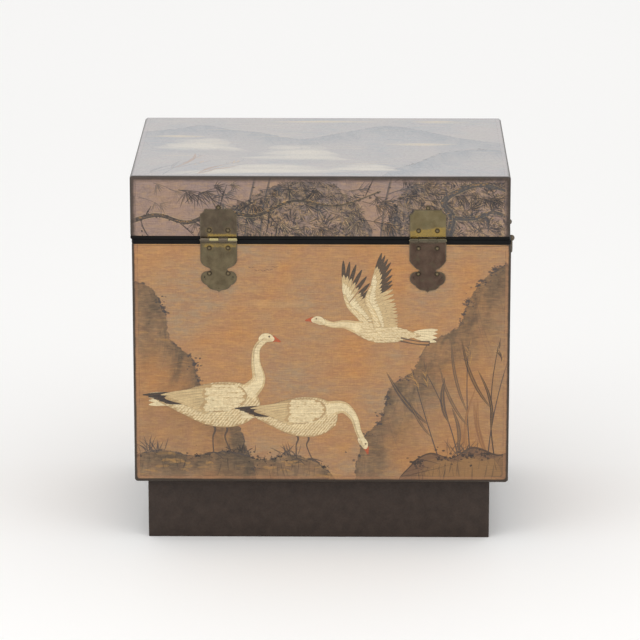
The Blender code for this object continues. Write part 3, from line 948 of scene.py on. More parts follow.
# %% Group: the darkened border of a sheet
@node_group(
    "sheet_border",
    [("Distance", "Float", 1.0), ("Reach", "Float", 0.003), ("Noise", "Float", 0.5)],
    [("Dark", "Float"), ("Strip", "Float"), ("Line", "Float")],
)
def border_group(group, given, out):
    """A brown edge, then a strip of bare ground, then the thin line where the picture starts."""
    distance = given["Distance"]
    drift = times(group, minus(group, given["Noise"], 0.5), 0.18)
    near = plus(group, maths(group, "DIVIDE", distance, given["Reach"]), drift)
    group.links.new(spread(group, near, 0.15, 1.0, 1.0, 0.0), out["Dark"])
    group.links.new(spread(group, distance, 0.0066, 0.0074, 1.0, 0.0), out["Strip"])
    off_line = maths(group, "ABSOLUTE", minus(group, distance, 0.0072))
    broken = spread(group, given["Noise"], 0.35, 0.65, 0.25, 1.0)
    line = times(group, spread(group, off_line, 0.0002, 0.0007, 1.0, 0.0), broken)
    group.links.new(line, out["Line"])


# %% The silk itself
def lay_thicket(tree, place, patches, colour):
    """Fine dark and golden needles, dense on the hills and thin beside them."""
    hills = maths(tree, "MAXIMUM", reading(tree, "far_slope"), reading(tree, "middle_slope"))
    where = spread(tree, plus(tree, hills, times(tree, patches, 0.020)), 0.0, 0.020, 0.10, 1.0)
    layers = (
        (0.034, 1.3, 0.80, (0.030, 0.026, 0.028, 1)), (0.024, 2.9, 0.80, (0.045, 0.038, 0.036, 1)),
        (0.021, 4.1, 0.50, (0.44, 0.27, 0.12, 1)), (0.028, 5.7, 0.80, (0.030, 0.026, 0.028, 1)),
        (0.017, 7.3, 0.42, (0.52, 0.35, 0.17, 1)), (0.018, 9.7, 0.60, (0.040, 0.034, 0.034, 1)),
    )
    for size, seed, strength, tint in layers:
        tufts = use_group(tree, tufts_group, {"Vector": place, "Size": size, "Seed": seed})
        cover = times(tree, times(tree, tufts["Needles"], where), strength)
        colour = mix(tree, cover, colour, tint)
    return colour


def make_silk(name, tones, wash_colour, wash_strengths, border_reach, border_strength, coat,
              thicket=False):
    """Painted and lacquered silk: four tones of ground, and how strong each hill's wash is."""
    warm, cool, rose, gold = tones
    material, tree, shader = new_material(
        name, roughness=0.42, specular_ior_level=0.25 + coat / 4, coat_weight=coat, coat_roughness=0.17,
    )
    place = add_node(tree, "ShaderNodeUVMap", uv_map="sheet").outputs[0]
    threads = use_group(tree, threads_group, {"Vector": place})
    clouds = use_group(tree, clouds_group, {"Vector": place, "Size": 0.13, "Contrast": 1.9})
    level_place = stretch(tree, place, (0.55, 1.4, 1.0))
    patches = use_group(tree, clouds_group, {"Vector": level_place, "Size": 0.020, "Contrast": 1.9})
    spots = use_group(tree, clouds_group, {"Vector": level_place, "Size": 0.0075, "Contrast": 1.8})
    ground = mix(tree, clouds["Broad"], warm, cool)
    ground = mix(tree, times(tree, patches["Broad"], 0.55), ground, rose)
    ground = mix(tree, times(tree, spread(tree, spots["Broad"], 0.45, 0.9), 0.30), ground, gold)
    slopes = zip(SLOPES, wash_strengths, (0.062, 0.058, 0.050), (0.0013, 0.0016, 0.0018))
    for slope, strength, fade, line_width in slopes:
        wash = use_group(tree, wash_group, {
            "Distance": reading(tree, slope), "Vector": place, "Fade": fade, "Line Width": line_width,
        })
        dense = times(tree, wash["Wash"], strength)
        ground = mix(tree, dense, ground, mix(tree, spots["Broad"], wash_colour[0], wash_colour[1]))
        line = times(tree, wash["Line"], min(1.0, strength * 0.9))
        ground = mix(tree, line, ground, (*SOFT_INK, 1.0))
    if thicket:
        ground = lay_thicket(tree, place, patches["Broad"], ground)
    pigment = add_node(tree, "ShaderNodeAttribute", attribute_name="pigment")
    rubbed = plus(tree, times(tree, threads["Streaks"], -0.24), 1.04, clamp=True)
    cover = times(tree, pigment.outputs["Alpha"], rubbed)
    painted = mix(tree, cover, ground, pigment.outputs["Color"])
    border = use_group(tree, border_group, {
        "Distance": reading(tree, "edge_distance"), "Reach": border_reach, "Noise": patches["Broad"],
    })
    painted = mix(tree, times(tree, border["Strip"], 0.38), painted, rose)
    painted = mix(tree, times(tree, border["Line"], 0.40), painted, (0.07, 0.05, 0.035, 1))
    streaked = mix(tree, threads["Streaks"], (1.08, 1.08, 1.08, 1), (0.82, 0.82, 0.835, 1))
    painted = mix(tree, 1.0, painted, streaked, "MULTIPLY")
    specked = mix(tree, times(tree, threads["Slubs"], 0.30), painted, (0.66, 0.47, 0.29, 1))
    weave = spread(tree, threads["Weave"], 0.3, 0.7, 0.0, 0.30)
    woven = mix(tree, weave, specked, (0.60, 0.56, 0.54, 1), "MULTIPLY")
    dark = times(tree, border["Dark"], border_strength)
    colour = mix(tree, dark, woven, (0.026, 0.018, 0.012, 1))
    rough = spread(tree, patches["Fine"], 0.2, 0.8, 0.36, 0.50)
    relief = plus(tree, threads["Weave"], times(tree, threads["Streaks"], 0.6))
    normal = height_to_normal(tree, relief, 0.00004)
    feed(tree, shader, base_color=colour, roughness=rough, normal=normal)
    return material


body_silk = make_silk(
    "body_silk",
    ((0.500, 0.236, 0.078, 1), (0.374, 0.244, 0.136, 1), (0.392, 0.190, 0.092, 1),
     (0.575, 0.310, 0.102, 1)),
    ((0.088, 0.061, 0.038, 1), (0.140, 0.096, 0.056, 1)), (0.85, 0.92, 0.92), 0.0036, 0.96, 0.2,
)
lid_silk = make_silk(
    "lid_silk",
    ((0.388, 0.248, 0.166, 1), (0.290, 0.216, 0.192, 1), (0.325, 0.217, 0.182, 1),
     (0.485, 0.305, 0.155, 1)),
    ((0.116, 0.094, 0.086, 1), (0.176, 0.134, 0.114, 1)), (0.85, 0.88, 0.85), 0.0085, 0.85, 0.2, True,
)
# The top's ground tones are paler and greyer than the other silks: a painted reflection of the bright
# air, added to the coat's own.
lid_top_silk_painted_reflection = make_silk(
    "lid_top_silk_painted_reflection",
    ((0.345, 0.308, 0.275, 1), (0.230, 0.249, 0.264, 1), (0.347, 0.276, 0.275, 1),
     (0.42, 0.373, 0.315, 1)),
    ((0.105, 0.128, 0.155, 1), (0.17, 0.187, 0.208, 1)), (0.82, 0.88, 0.88), 0.0020, 0.9, 1.0,
)
print("silks made:", body_silk.name, lid_silk.name, lid_top_silk_painted_reflection.name)


# %% [markdown]
# ## The motifs
# The picture is a common kind of scene: hills in mist, reeds and bamboo, and wild geese on a
# bank. Each motif is a function that lays its strokes in painting order. A bird is a buff shape
# with small pale feathers over it in rows, so the buff is left as a fine net between them.
# All chance comes from the sheet's own dice, so the picture is the same in each run.

# %% Placing a motif
SEPIA = (0.085, 0.060, 0.045)
BUFF = (0.50, 0.34, 0.16)


def placed(points, at, scale, mirror=False, turn=0.0):
    """Move a drawing in millimetres to its place on a sheet."""
    cos, sin = math.cos(turn), math.sin(turn)
    side = -1.0 if mirror else 1.0
    moved = []
    for x, y in points:
        x = side * x
        moved.append(np.array((
            at[0] + (x * cos - y * sin) * 0.001 * scale,
            at[1] + (x * sin + y * cos) * 0.001 * scale,
        )))
    return moved


def lay_outlined(sheet, loop, colour, line=0.0004, cover=0.95):
    """A filled shape with a thin brown line round it."""
    lay(sheet, grow(loop, line), SEPIA, 0.6)
    lay(sheet, loop, colour, cover)


# %% Feathers
def lay_feather(sheet, root, tip, width, colour, dark_share=0.0):
    """A long feather: narrow at its root, broad at two thirds, with a round tip."""
    root, tip = np.array(root, float), np.array(tip, float)
    spine = [root, root + (tip - root) * 0.5, tip]
    loop = ribbon(spine, (width * 0.35, width * 0.85, width, width * 0.8, width * 0.15), 4)
    lay(sheet, grow(loop, 0.00035), SEPIA, 0.55)
    lay(sheet, loop, colour, 0.95)
    if dark_share > 0:
        start = root + (tip - root) * (1 - dark_share)
        dark = ribbon([start, (start + tip) / 2, tip],
                      (width * 0.1, width, width * 0.85, width * 0.15), 3)
        lay(sheet, dark, INK, 0.93)
    else:
        brush(sheet, [root, tip], (0.0004, 0.0002), 2, SEPIA, 0.35)


def lay_down(sheet, region, step, size, turn, colour, cover=0.8, plump=1.0):
    """Rows of small feathers over a region. Their direction follows from how far along they lie."""
    dice = sheet["dice"]
    low, high = np.min(region, axis=0), np.max(region, axis=0)
    rows = np.arange(low[1], high[1], step * 0.62)
    for row, y in enumerate(rows):
        for x in np.arange(low[0] + (step / 2 if row % 2 else 0.0), high[0], step):
            centre = np.array((x + dice.uniform(-0.12, 0.12) * step,
                               y + dice.uniform(-0.12, 0.12) * step))
            angle = turn((x - low[0]) / (high[0] - low[0]))
            along = heading(angle) * size * dice.uniform(0.85, 1.15)
            if is_inside(centre, region) and is_inside(centre + along, region):
                widths = [size * plump * share for share in (0.18, 0.5, 0.52, 0.12)]
                loop = ribbon([centre, centre + along * 0.55, centre + along], widths, 2)
                lay(sheet, loop, colour, cover * dice.uniform(0.8, 1.0))


def lay_row(sheet, roots, tips, width, colour, dark_share=0.0):
    for root, tip in zip(roots, tips):
        lay_feather(sheet, root, tip, width, colour, dark_share)


# %% A standing goose
GOOSE_BODY = [
    (60, 16), (67, -2), (60, -22), (38, -37), (8, -43), (-26, -37), (-56, -23), (-86, -7), (-104, 4),
    (-98, 11), (-70, 17), (-38, 28), (-4, 35), (28, 35), (48, 28),
]
GOOSE_SHADE = [(62, -14), (40, -36), (8, -43), (-26, -37), (-58, -22), (-86, -6), (-50, -16),
               (-10, -26), (30, -22)]
GOOSE_HEAD = [(-13, -5), (-11, 2), (-5, 6.5), (3, 7), (9, 4), (13, -0.5), (11, -5), (3, -7), (-6, -8)]
GOOSE_BEAK = [(10, 4), (15, 2.2), (21, -1.5), (24, -4), (21.5, -5.5), (16, -5), (10, -5.5)]
GOOSE_WING = [
    (44, 15), (41, 2), (26, -10), (0, -16), (-30, -13), (-62, -3), (-92, 8), (-62, 19), (-30, 29),
    (4, 33), (32, 28),
]


def lay_head(sheet, to, unit, at, turn):
    cos, sin = math.cos(turn), math.sin(turn)

    def on_head(points):
        return to([(at[0] + x * cos - y * sin, at[1] + x * sin + y * cos) for x, y in points])

    lay_outlined(sheet, curve_through(on_head(GOOSE_BEAK), 3, True), RUST)
    brush(sheet, on_head([(11, -1.5), (17, -2.5), (23, -4)]), (0.0006, 0.0004, 0.0002), 3, INK, 0.7)
    lay_outlined(sheet, curve_through(on_head(GOOSE_HEAD), 4, True), PALE_CREAM)
    lay(sheet, curve_through(on_head([(-10, -6), (-4, -2), (6, -3), (9, -5), (1, -7)]), 3, True), BUFF,
        0.45)
    eye = on_head([(4, 2)])[0]
    lay(sheet, blob(eye, 2.0 * unit, sheet["dice"], 8), RUST_BROWN, 0.7)
    lay(sheet, blob(eye, 1.3 * unit, sheet["dice"], 8), INK)


def lay_trunk(sheet, body, neck, widths, front, front_share, front_cover, rounds, cover, lift):
    """The body and neck of a bird, paler toward its middle and down the front of the neck."""
    brush(sheet, neck, [width + 0.0008 for width in widths], 7, SEPIA, 0.6)
    lay_outlined(sheet, body, BUFF)
    brush(sheet, neck, widths, 7, CREAM, 0.97)
    brush(sheet, front, [width * front_share for width in widths], 7, PALE_CREAM, front_cover)
    centre = sum(body) / len(body)
    for share in rounds:
        lay(sheet, [centre + (point - centre) * share + np.array((0, lift)) for point in body], CREAM,
            cover)


def lay_legs(sheet, to, unit):
    for foot_x, lean in ((12, 6), (-8, -3)):
        leg = [(foot_x - 4, -34), (foot_x, -47), (foot_x - 4, -60), (foot_x + lean, -86)]
        brush(sheet, to(leg), (9 * unit, 4 * unit, 3.2 * unit, 2.2 * unit, 2.4 * unit), 4, SEPIA, 0.95)
        end = leg[-1]
        for toe in ((21, -6), (16, -12), (-11, -4)):
            line = [end, (end[0] + toe[0] * 0.5, end[1] + toe[1] * 0.35),
                    (end[0] + toe[0], end[1] + toe[1])]
            brush(sheet, to(line), (2.6 * unit, 2.0 * unit, 0.8 * unit), 3, SEPIA, 0.95)


def lay_goose(sheet, at, scale, mirror, neck, head_turn):
    """A goose on its two legs. The neck is a list of points from breast to head."""
    def to(points):
        return placed(points, at, scale, mirror)

    def swept(share):
        bend = 0.15 + 0.95 * (1 - share if mirror else share)
        return -bend if mirror else math.pi + bend

    unit = 0.001 * scale
    lay_legs(sheet, to, unit)
    lay_row(sheet, to([(-60, y) for y in (2, 5, 8, 11)]), to([(-118, y) for y in (-4, 3, 9, 15)]),
            9 * unit, PALE_CREAM)
    neck_points = to(neck)
    widths = [width * unit for width in (34, 23, 15, 11.5, 12)]
    body = curve_through(to(GOOSE_BODY), 5, closed=True)
    front = [point + np.array(((-1.4 if mirror else 1.4) * unit, 0.0)) for point in neck_points]
    lay_trunk(sheet, body, neck_points, widths, front, 0.62, 0.75, (0.88, 0.72, 0.52), 0.30, 0.003)
    lay(sheet, curve_through(to(GOOSE_SHADE), 4, True), BUFF, 0.45)
    lay_down(sheet, body, 5.4 * unit, 6.2 * unit, swept, PALE_CREAM, 0.75)
    lay_down(sheet, ribbon(neck_points[:4], [width * 0.8 for width in widths[:4]], 5), 3.6 * unit,
             4.2 * unit,
             lambda share: -1.9 if not mirror else -1.2, PALE_CREAM, 0.6)
    flights = (
        [(-30 - 2 * i, 15 - 3.2 * i) for i in range(5)],
        [(-128 + 9 * i, 13 - 3.4 * i) for i in range(5)],
    )
    lay_row(sheet, to(flights[0]), to(flights[1]), 8.5 * unit, INK)
    wing = curve_through(to(GOOSE_WING), 5, closed=True)
    lay_outlined(sheet, wing, BUFF, 0.0006)
    longs = (
        [(-2 - 2 * i, 24 - 4.7 * i) for i in range(9)],
        [(-98 + 8.5 * i, 13 - 3.9 * i) for i in range(9)],
    )
    lay_row(sheet, to(longs[0]), to(longs[1]), 8.5 * unit, CREAM)
    inner = [(-10, -14), (-34, -11), (-26, 4), (-30, 16), (-20, 29)]
    shoulder = curve_through(to(GOOSE_WING[:4] + inner + GOOSE_WING[9:]), 4, closed=True)
    lay(sheet, shoulder, BUFF, 0.9)
    lay_down(sheet, shoulder, 7.2 * unit, 9.5 * unit,
             lambda share: math.pi + 0.10 if not mirror else -0.10,
             PALE_CREAM, 0.85, 1.15)
    lay_head(sheet, to, unit, neck[-1], head_turn)
    nape = [point - np.array(((-3.2 if mirror else 3.2) * unit, 0.0)) for point in neck_points[1:]]
    brush(sheet, nape, (0.8 * unit, 2.2 * unit, 1.2 * unit), 5, SEPIA, 0.30)


# %% A flying goose
FAR_WING = (0.58, 0.42, 0.21)


def lay_wing(sheet, to, unit, edge, directions, colour, count=19):
    """A spread wing. Its leading edge runs from shoulder to hand, and the feathers trail from it."""
    spine = curve_through(edge, 12)
    places = [spine[round(share * (len(spine) - 1))] for share in np.linspace(0.06, 1.0, count)]
    angles = np.interp(np.linspace(0, 1, count), (0.0, 0.45, 0.75, 1.0), directions)
    lengths = np.interp(np.linspace(0, 1, count), (0.0, 0.45, 0.7, 0.85, 1.0), (38, 47, 58, 66, 64))
    for reach, width, tint, dark in ((1.0, 7.6, colour, 0.62), (0.58, 7.0, CREAM, 0.0),
                                     (0.34, 6.0, PALE_CREAM, 0.0)):
        for index in range(count - 1, -1, -1):
            root = places[index]
            along = heading(angles[index]) * lengths[index] * reach
            dark_share = dark if index > count * 0.58 else 0.0
            lay_feather(sheet, *to([root, root + along]), width * unit, tint, dark_share)
    arm = ribbon(to(edge), (15 * unit, 11 * unit, 8 * unit, 4 * unit), 7)
    lay_outlined(sheet, arm, CREAM, 0.0003)
    lay_down(sheet, arm, 4.4 * unit, 4.6 * unit, lambda share: -0.4, PALE_CREAM, 0.85)


def lay_flying_goose(sheet, at, scale, mirror, turn):
    def to(points):
        return placed(points, at, scale, mirror, turn)

    unit = 0.001 * scale
    lay_wing(sheet, to, unit, [(28, 8), (46, 26), (66, 42), (78, 64)], (2.95, 2.6, 2.1, 1.45), FAR_WING,
             17)
    lay_row(sheet, to([(-56, y) for y in (5, 3, 0, -2)]), to([(-100, y) for y in (15, 8, 0, -8)]),
            9 * unit, PALE_CREAM)
    body_points = [
        (60, 6), (46, -10), (14, -20), (-22, -17), (-52, -6), (-70, 1), (-48, 8), (-14, 15), (20, 18),
        (46, 15),
    ]
    body = curve_through(to(body_points), 5, closed=True)
    neck = to([(42, 3), (70, 8), (94, 5), (116, 11)])
    widths = [width * unit for width in (27, 16, 11, 11)]
    lay_trunk(sheet, body, neck, widths, neck, 0.6, 0.7, (0.85, 0.6), 0.35, 0.002)
    lay_down(sheet, body, 5.0 * unit, 5.8 * unit, lambda share: -0.15 if mirror else math.pi + 0.15,
             PALE_CREAM, 0.8)
    for lean in (-3, 3):
        leg = [(-34, -10 + lean), (-62, -13 + lean), (-88, -12 + lean)]
        brush(sheet, to(leg), (3.2 * unit, 2.0 * unit, 3.6 * unit), 4, SEPIA, 0.9)
    lay_wing(sheet, to, unit, [(10, 8), (20, 32), (35, 58), (29, 86)], (3.0, 2.75, 2.3, 1.75), CREAM,
             20)
    lay_head(sheet, to, unit * 0.9, (120, 11), 0.05)


# %% Plants
def lay_reed(sheet, root, angle, length, colour=SOFT_INK):
    """A reed: a thin bent stem, long blades, and at its head a feathery plume."""
    dice = sheet["dice"]
    along = heading(angle)
    across = np.array((-along[1], along[0]))
    bend = dice.uniform(-0.22, 0.22)
    root = np.array(root, float)
    stem = [root + along * length * s + across * bend * length * s * s for s in (0, 0.35, 0.7, 1.0)]
    brush(sheet, stem, (0.0022, 0.0017, 0.0010), 4, colour, 0.92)
    for _ in range(dice.randint(2, 3)):
        share = dice.uniform(0.02, 0.6)
        at = root + along * length * share + across * bend * length * share * share
        side = dice.choice((-1, 1))
        blade = leaf(at, angle + side * dice.uniform(0.2, 0.6), length * dice.uniform(0.35, 0.65),
                     dice.uniform(0.004, 0.0085), -side * dice.uniform(0.15, 0.55))
        tint = dice.choice((colour, colour, RUST_BROWN))
        lay(sheet, blade, tint, dice.uniform(0.6, 0.92))
        middle = [blade[i] * 0.5 + blade[-1 - i] * 0.5 for i in range(0, len(blade) // 2, 3)]
        brush(sheet, middle, (0.0005, 0.0007, 0.0003), 2, OCHRE, 0.6)
    head = stem[-1]
    for _ in range(16):
        lean = angle + dice.uniform(-0.7, 0.7) + bend
        at = head - along * dice.uniform(0.0, 0.03)
        lay(sheet, leaf(at, lean, dice.uniform(0.008, 0.018), 0.0013, 0.3, 2),
            dice.choice((colour, OCHRE)), 0.6)


def lay_bamboo_spray(sheet, at, angle, size, fans, colour=INK, cover=0.8, light=OCHRE):
    """A spray of narrow leaves that hang from one twig in groups, some with a lit edge."""
    dice = sheet["dice"]
    along = heading(angle)
    at = np.array(at, float)
    twig = [at, at + along * size * 0.9, at + along * size * 1.8 + np.array((0.0, -0.2 * size))]
    brush(sheet, twig, (0.0015, 0.0010, 0.0005), 3, colour, cover)
    for _ in range(fans):
        knot = at + along * size * dice.uniform(0.0, 1.8)
        blades = dice.randint(4, 6)
        start = angle + dice.uniform(-1.5, 0.3)
        for step in range(blades):
            turn = start + 0.30 * (step - blades / 2) + dice.uniform(-0.05, 0.05)
            long = size * dice.uniform(0.55, 1.0)
            wide = size * dice.uniform(0.045, 0.085)
            lay(sheet, leaf(knot, turn, long, wide, dice.uniform(-0.12, 0.12), 2), colour,
                cover * dice.uniform(0.5, 1.0))
            if dice.random() < 0.45:
                off = np.array((-math.sin(turn), math.cos(turn))) * wide * 0.5
                lay(sheet, leaf(knot + off, turn + 0.04, long * 0.85, wide * 0.38, 0.0, 2), light, 0.55)


def lay_branch(sheet, line, widths, twigs, colour=INK):
    """A gnarled branch with a pale edge, gold patches on its upper side, and twigs with buds."""
    dice = sheet["dice"]
    line = [np.array(point) for point in line]
    lay(sheet, grow(ribbon(line, widths, 7), 0.0008), CREAM, 0.28)
    brush(sheet, line, widths, 7, colour, 0.82)
    for share in (-0.25, 0.2):
        grain = [point + side * share * widths[0] for point, side in zip(line, normals_of(line))]
        brush(sheet, grain, (0.0004, widths[0] * 0.13, 0.0004, widths[0] * 0.1, 0.0003), 7, INK, 0.6)
    spots = curve_through(line, 9)
    sides = normals_of(spots)
    for point, side in zip(spots[1:-1], sides[1:-1]):
        if dice.random() < 0.6:
            at = point + side * dice.uniform(0.0, 0.3) * widths[0]
            lay(sheet, blob(at, dice.uniform(0.0012, 0.0030), dice, 7, 0.6), OCHRE, 0.4)
        at = point + side * dice.uniform(-0.5, 0.5) * widths[0]
        lay(sheet, blob(at, dice.uniform(0.0012, 0.0028), dice), colour, 0.75)
    for _ in range(twigs):
        at = spots[dice.randrange(len(spots))]
        angle = dice.choice((-1, 1)) * dice.uniform(0.5, 1.6)
        length = dice.uniform(0.02, 0.05)
        lay(sheet, leaf(at, angle, length, 0.0024, dice.uniform(-0.5, 0.5)), colour, 0.8)
        for _ in range(4):
            share = dice.uniform(0.3, 1.0)
            bud = (at[0] + math.cos(angle) * length * share, at[1] + math.sin(angle) * length * share)
            lay(sheet, blob(bud, dice.uniform(0.0008, 0.0016), dice), colour, 0.8)


# %% Ground: rocks, moss, grass and mist
def lay_moss(sheet, line, count, reach, colour=INK, size=0.0016):
    """Moss: short dots in tight clusters along a contour, with a few strays."""
    dice = sheet["dice"]
    cluster = line[0]
    for step in range(count):
        if step % 11 == 0:
            cluster = line[dice.randrange(len(line))]
        spread_by = reach * (0.35 if dice.random() < 0.75 else 1.2)
        at = (cluster[0] + dice.gauss(0, spread_by), cluster[1] + dice.gauss(0, spread_by * 0.8))
        lay(sheet, blob(at, size * dice.uniform(0.5, 1.5), dice, 6, 0.75), colour,
            dice.uniform(0.5, 0.92))


def lay_strata(sheet, line, drop, count, colour=SOFT_INK, cover=0.4):
    """Dry strokes that run down a hillside from its contour."""
    dice = sheet["dice"]
    for _ in range(count):
        start = line[dice.randrange(len(line))]
        fall = dice.uniform(0.3, 1.0) * drop
        lean = dice.uniform(-0.35, 0.35)
        start = start - np.array((0.0, dice.uniform(0.002, 0.02)))
        middle = start + np.array((lean * fall * 0.4, -fall * 0.5))
        end = start + np.array((lean * fall, -fall))
        brush(sheet, [start, middle, end], (0.0004, dice.uniform(0.001, 0.0026), 0.0003), 4,
            colour, cover * dice.uniform(0.4, 1.0))


def lay_gold(sheet, line, depth, count, cover=0.35):
    """Patches of gold below a contour: level dabs of uneven width."""
    dice = sheet["dice"]
    for _ in range(count):
        at = line[dice.randrange(len(line))] - np.array((dice.uniform(-0.01, 0.01),
                                                         dice.uniform(0.15, 1.0) * depth))
        long = dice.uniform(0.008, 0.030)
        dab = [at, at + np.array((long * 0.5, dice.uniform(-0.002, 0.003))),
               at + np.array((long, dice.uniform(-0.004, 0.002)))]
        wide = dice.uniform(0.002, 0.006)
        brush(sheet, dab, (0.0003, wide, wide * 0.6, wide * 0.9, 0.0003), 5, OCHRE,
              cover * dice.uniform(0.5, 1.0))


def lay_rock(sheet, loop, crack_count):
    """A rock: an ink outline of uneven width, gold on its shoulders, and cracks that follow it."""
    dice = sheet["dice"]
    edge = curve_through(loop, 6, closed=True)
    lay(sheet, edge, RUST_BROWN, 0.70)
    lay(sheet, edge, SEPIA, 0.60)
    centre = sum(edge) / len(edge)
    for share, cover in ((0.80, 0.16), (0.58, 0.22)):
        inner = [
            centre + (point - centre) * share * dice.uniform(0.9, 1.08) - np.array((0.0, 0.004))
            for point in edge[::2]
        ]
        lay(sheet, curve_through(inner, 2, True), OCHRE, cover)
    brush(sheet, edge[: len(edge) * 3 // 4], (0.0008, 0.0028, 0.0012, 0.0034, 0.0008), 1, INK, 0.8)
    for _ in range(crack_count):
        at = edge[dice.randrange(len(edge))]
        toward = centre + np.array((dice.uniform(-0.03, 0.03), dice.uniform(-0.02, 0.01)))
        end = at + (toward - at) * dice.uniform(0.3, 0.75)
        middle = (at + end) / 2 + np.array((dice.uniform(-0.006, 0.006), dice.uniform(-0.002, 0.005)))
        brush(sheet, [at, middle, end], (0.0022, 0.0014, 0.0003), 4, INK, dice.uniform(0.25, 0.6))


def lay_grass(sheet, at, count, length, colour=SOFT_INK):
    dice = sheet["dice"]
    for _ in range(count):
        root = (at[0] + dice.gauss(0, 0.01), at[1] + dice.uniform(-0.002, 0.002))
        angle = math.pi / 2 + dice.uniform(-0.75, 0.75)
        blade = leaf(root, angle, length * dice.uniform(0.5, 1.0), 0.0018, dice.uniform(-0.5, 0.5))
        lay(sheet, blade, colour, dice.uniform(0.5, 0.9))


def lay_cloud(sheet, at, length, height, colour, cover, lean=0.0):
    """A bank of cloud: long wisps at its foot, shorter ones above, which gather to a soft heap."""
    dice = sheet["dice"]
    for _ in range(30):
        rise = dice.random() ** 1.4
        reach = length * (1.0 - 0.7 * rise) * dice.uniform(0.4, 1.0)
        shift = dice.uniform(-0.5, 0.5) * (length * (1.0 - 0.55 * rise) - reach)
        x, y = at[0] + shift, at[1] + height * (rise - 0.25) + lean * shift / length
        bow = height * dice.uniform(0.02, 0.16)
        tilt = lean * reach / length / 2
        line = [(x - reach / 2, y - tilt), (x - reach / 5, y + bow), (x + reach / 5, y + bow),
                (x + reach / 2, y + tilt)]
        thick = height * dice.uniform(0.22, 0.42)
        brush(sheet, line, (0.0006, thick * 0.7, thick, thick * 0.75, 0.0006), 5, colour, cover)


def lay_mist(sheet, at, length, height, colour, cover):
    """A band of mist: long flat strokes, each shorter and fuller than the one before it."""
    dice = sheet["dice"]
    for step in range(5):
        part = 1.0 - 0.17 * step
        y = at[1] + dice.uniform(-0.12, 0.12) * height
        x = at[0] + dice.uniform(-0.08, 0.08) * length
        line = [(x - length * part / 2, y),
                (x - length * part / 6, y + dice.uniform(-0.2, 0.2) * height),
                (x + length * part / 6, y + dice.uniform(-0.2, 0.2) * height),
                (x + length * part / 2, y)]
        widths = (0.001, height * part * 0.6, height * part, height * part * 0.7, 0.001)
        brush(sheet, line, widths, 8, colour, cover)


def lay_far_birds(sheet, at, count, size, colour=SOFT_INK):
    """A skein of birds far off, each two short bows that meet."""
    dice = sheet["dice"]
    for step in range(count):
        x = at[0] + step * size * 1.6
        y = at[1] + abs(step - count / 2.6) * size * 0.5 + dice.uniform(-0.2, 0.2) * size
        for side in (-1, 1):
            bow = leaf((x, y), math.pi / 2 - side * 0.9, size, size * 0.16, side * -0.35)
            lay(sheet, bow, colour, 0.7)


print("motifs: geese, reeds, bamboo, branch, rocks, moss, grass, cloud and mist")


# %% [markdown]
# ## The picture on the body
# The front carries the main scene. Two geese stand on a bank at the left, a third comes in to
# land, and hills rise in the mist behind. The sides and the back are plainer, with the same
# hills, reeds and moss. Each sheet turns a little way round the rounded edges of the box, and
# between two sheets the dark lacquer shows as a thin line.

# %% Front of the body
BODY = {
    "name": "body_sheet_", "box": (body_low, body_high), "foot": SHEET_INSET, "open": "top",
    "finish": body_silk, "body": "chest", "slot": "picture_body",
}
LID = {
    "name": "lid_sheet_", "box": (lid_low, lid_high), "foot": RIM_GAP, "open": "bottom",
    "finish": lid_silk, "body": "lid", "slot": "picture_lid",
}
HILL_REEDS = 6
HILL_MOSS = 220


def paper_side(part, side, seed, paint):
    """Paint a sheet, and fix it to one side of the body or the lid."""
    low, high = part["box"]
    x, y, along, width = {
        "front": (low.x + SHEET_INSET, low.y, (1, 0, 0), high.x - low.x),
        "left": (low.x, high.y - SHEET_INSET, (0, -1, 0), high.y - low.y),
        "right": (high.x, low.y + SHEET_INSET, (0, 1, 0), high.y - low.y),
        "back": (high.x - SHEET_INSET, high.y, (-1, 0, 0), high.x - low.x),
    }[side]
    height = high.z - low.z - SHEET_INSET - RIM_GAP
    sheet = new_sheet(width - 2 * SHEET_INSET, height, part["open"], seed)
    paint(sheet)
    fix_sheet(part["name"] + side, sheet, (x, y, low.z + part["foot"]), along, (0, 0, 1),
              part["finish"], part["body"])


def lay_rim_highlight_and_shade_lines(sheet):
    """A golden line under the rim, a painted highlight on the sheet's edge, and below it a thin dark
    one, painted shade of the gap there, both thinner here and there.
    """
    width, height = sheet["size"]
    dice = sheet["dice"]
    for y, thick, colour, cover in ((height - 0.0010, 0.0018, OCHRE, 0.6),
                                    (height - 0.0026, 0.0011, INK, 0.7)):
        line = [(width * share, y + dice.uniform(-0.0001, 0.0001))
                for share in np.linspace(0.0, 1.0, 9)]
        widths = [thick * dice.uniform(0.3, 1.1) for _ in range(40)]
        brush(sheet, line, widths, 6, colour, cover)


def lay_painted_shade_in_eyes(sheet):
    """Painted shade in the small eyes in the feet of the hinges: dark spots on the silk behind them."""
    for side in ("left", "right"):
        low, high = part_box("hinge_%s_body_leaf" % side)
        middle = (low.x + high.x) / 2 - body_low.x - SHEET_INSET
        top = seam_z - body_low.z - SHEET_INSET
        for x in (-0.0225, 0.0225):
            lay(sheet, blob((middle + x, top - 0.0625), 0.0045, sheet["dice"], 8), INK, 0.92)
        lay(sheet, blob((middle, top - 0.0810), 0.0016, sheet["dice"], 8), INK, 0.92)


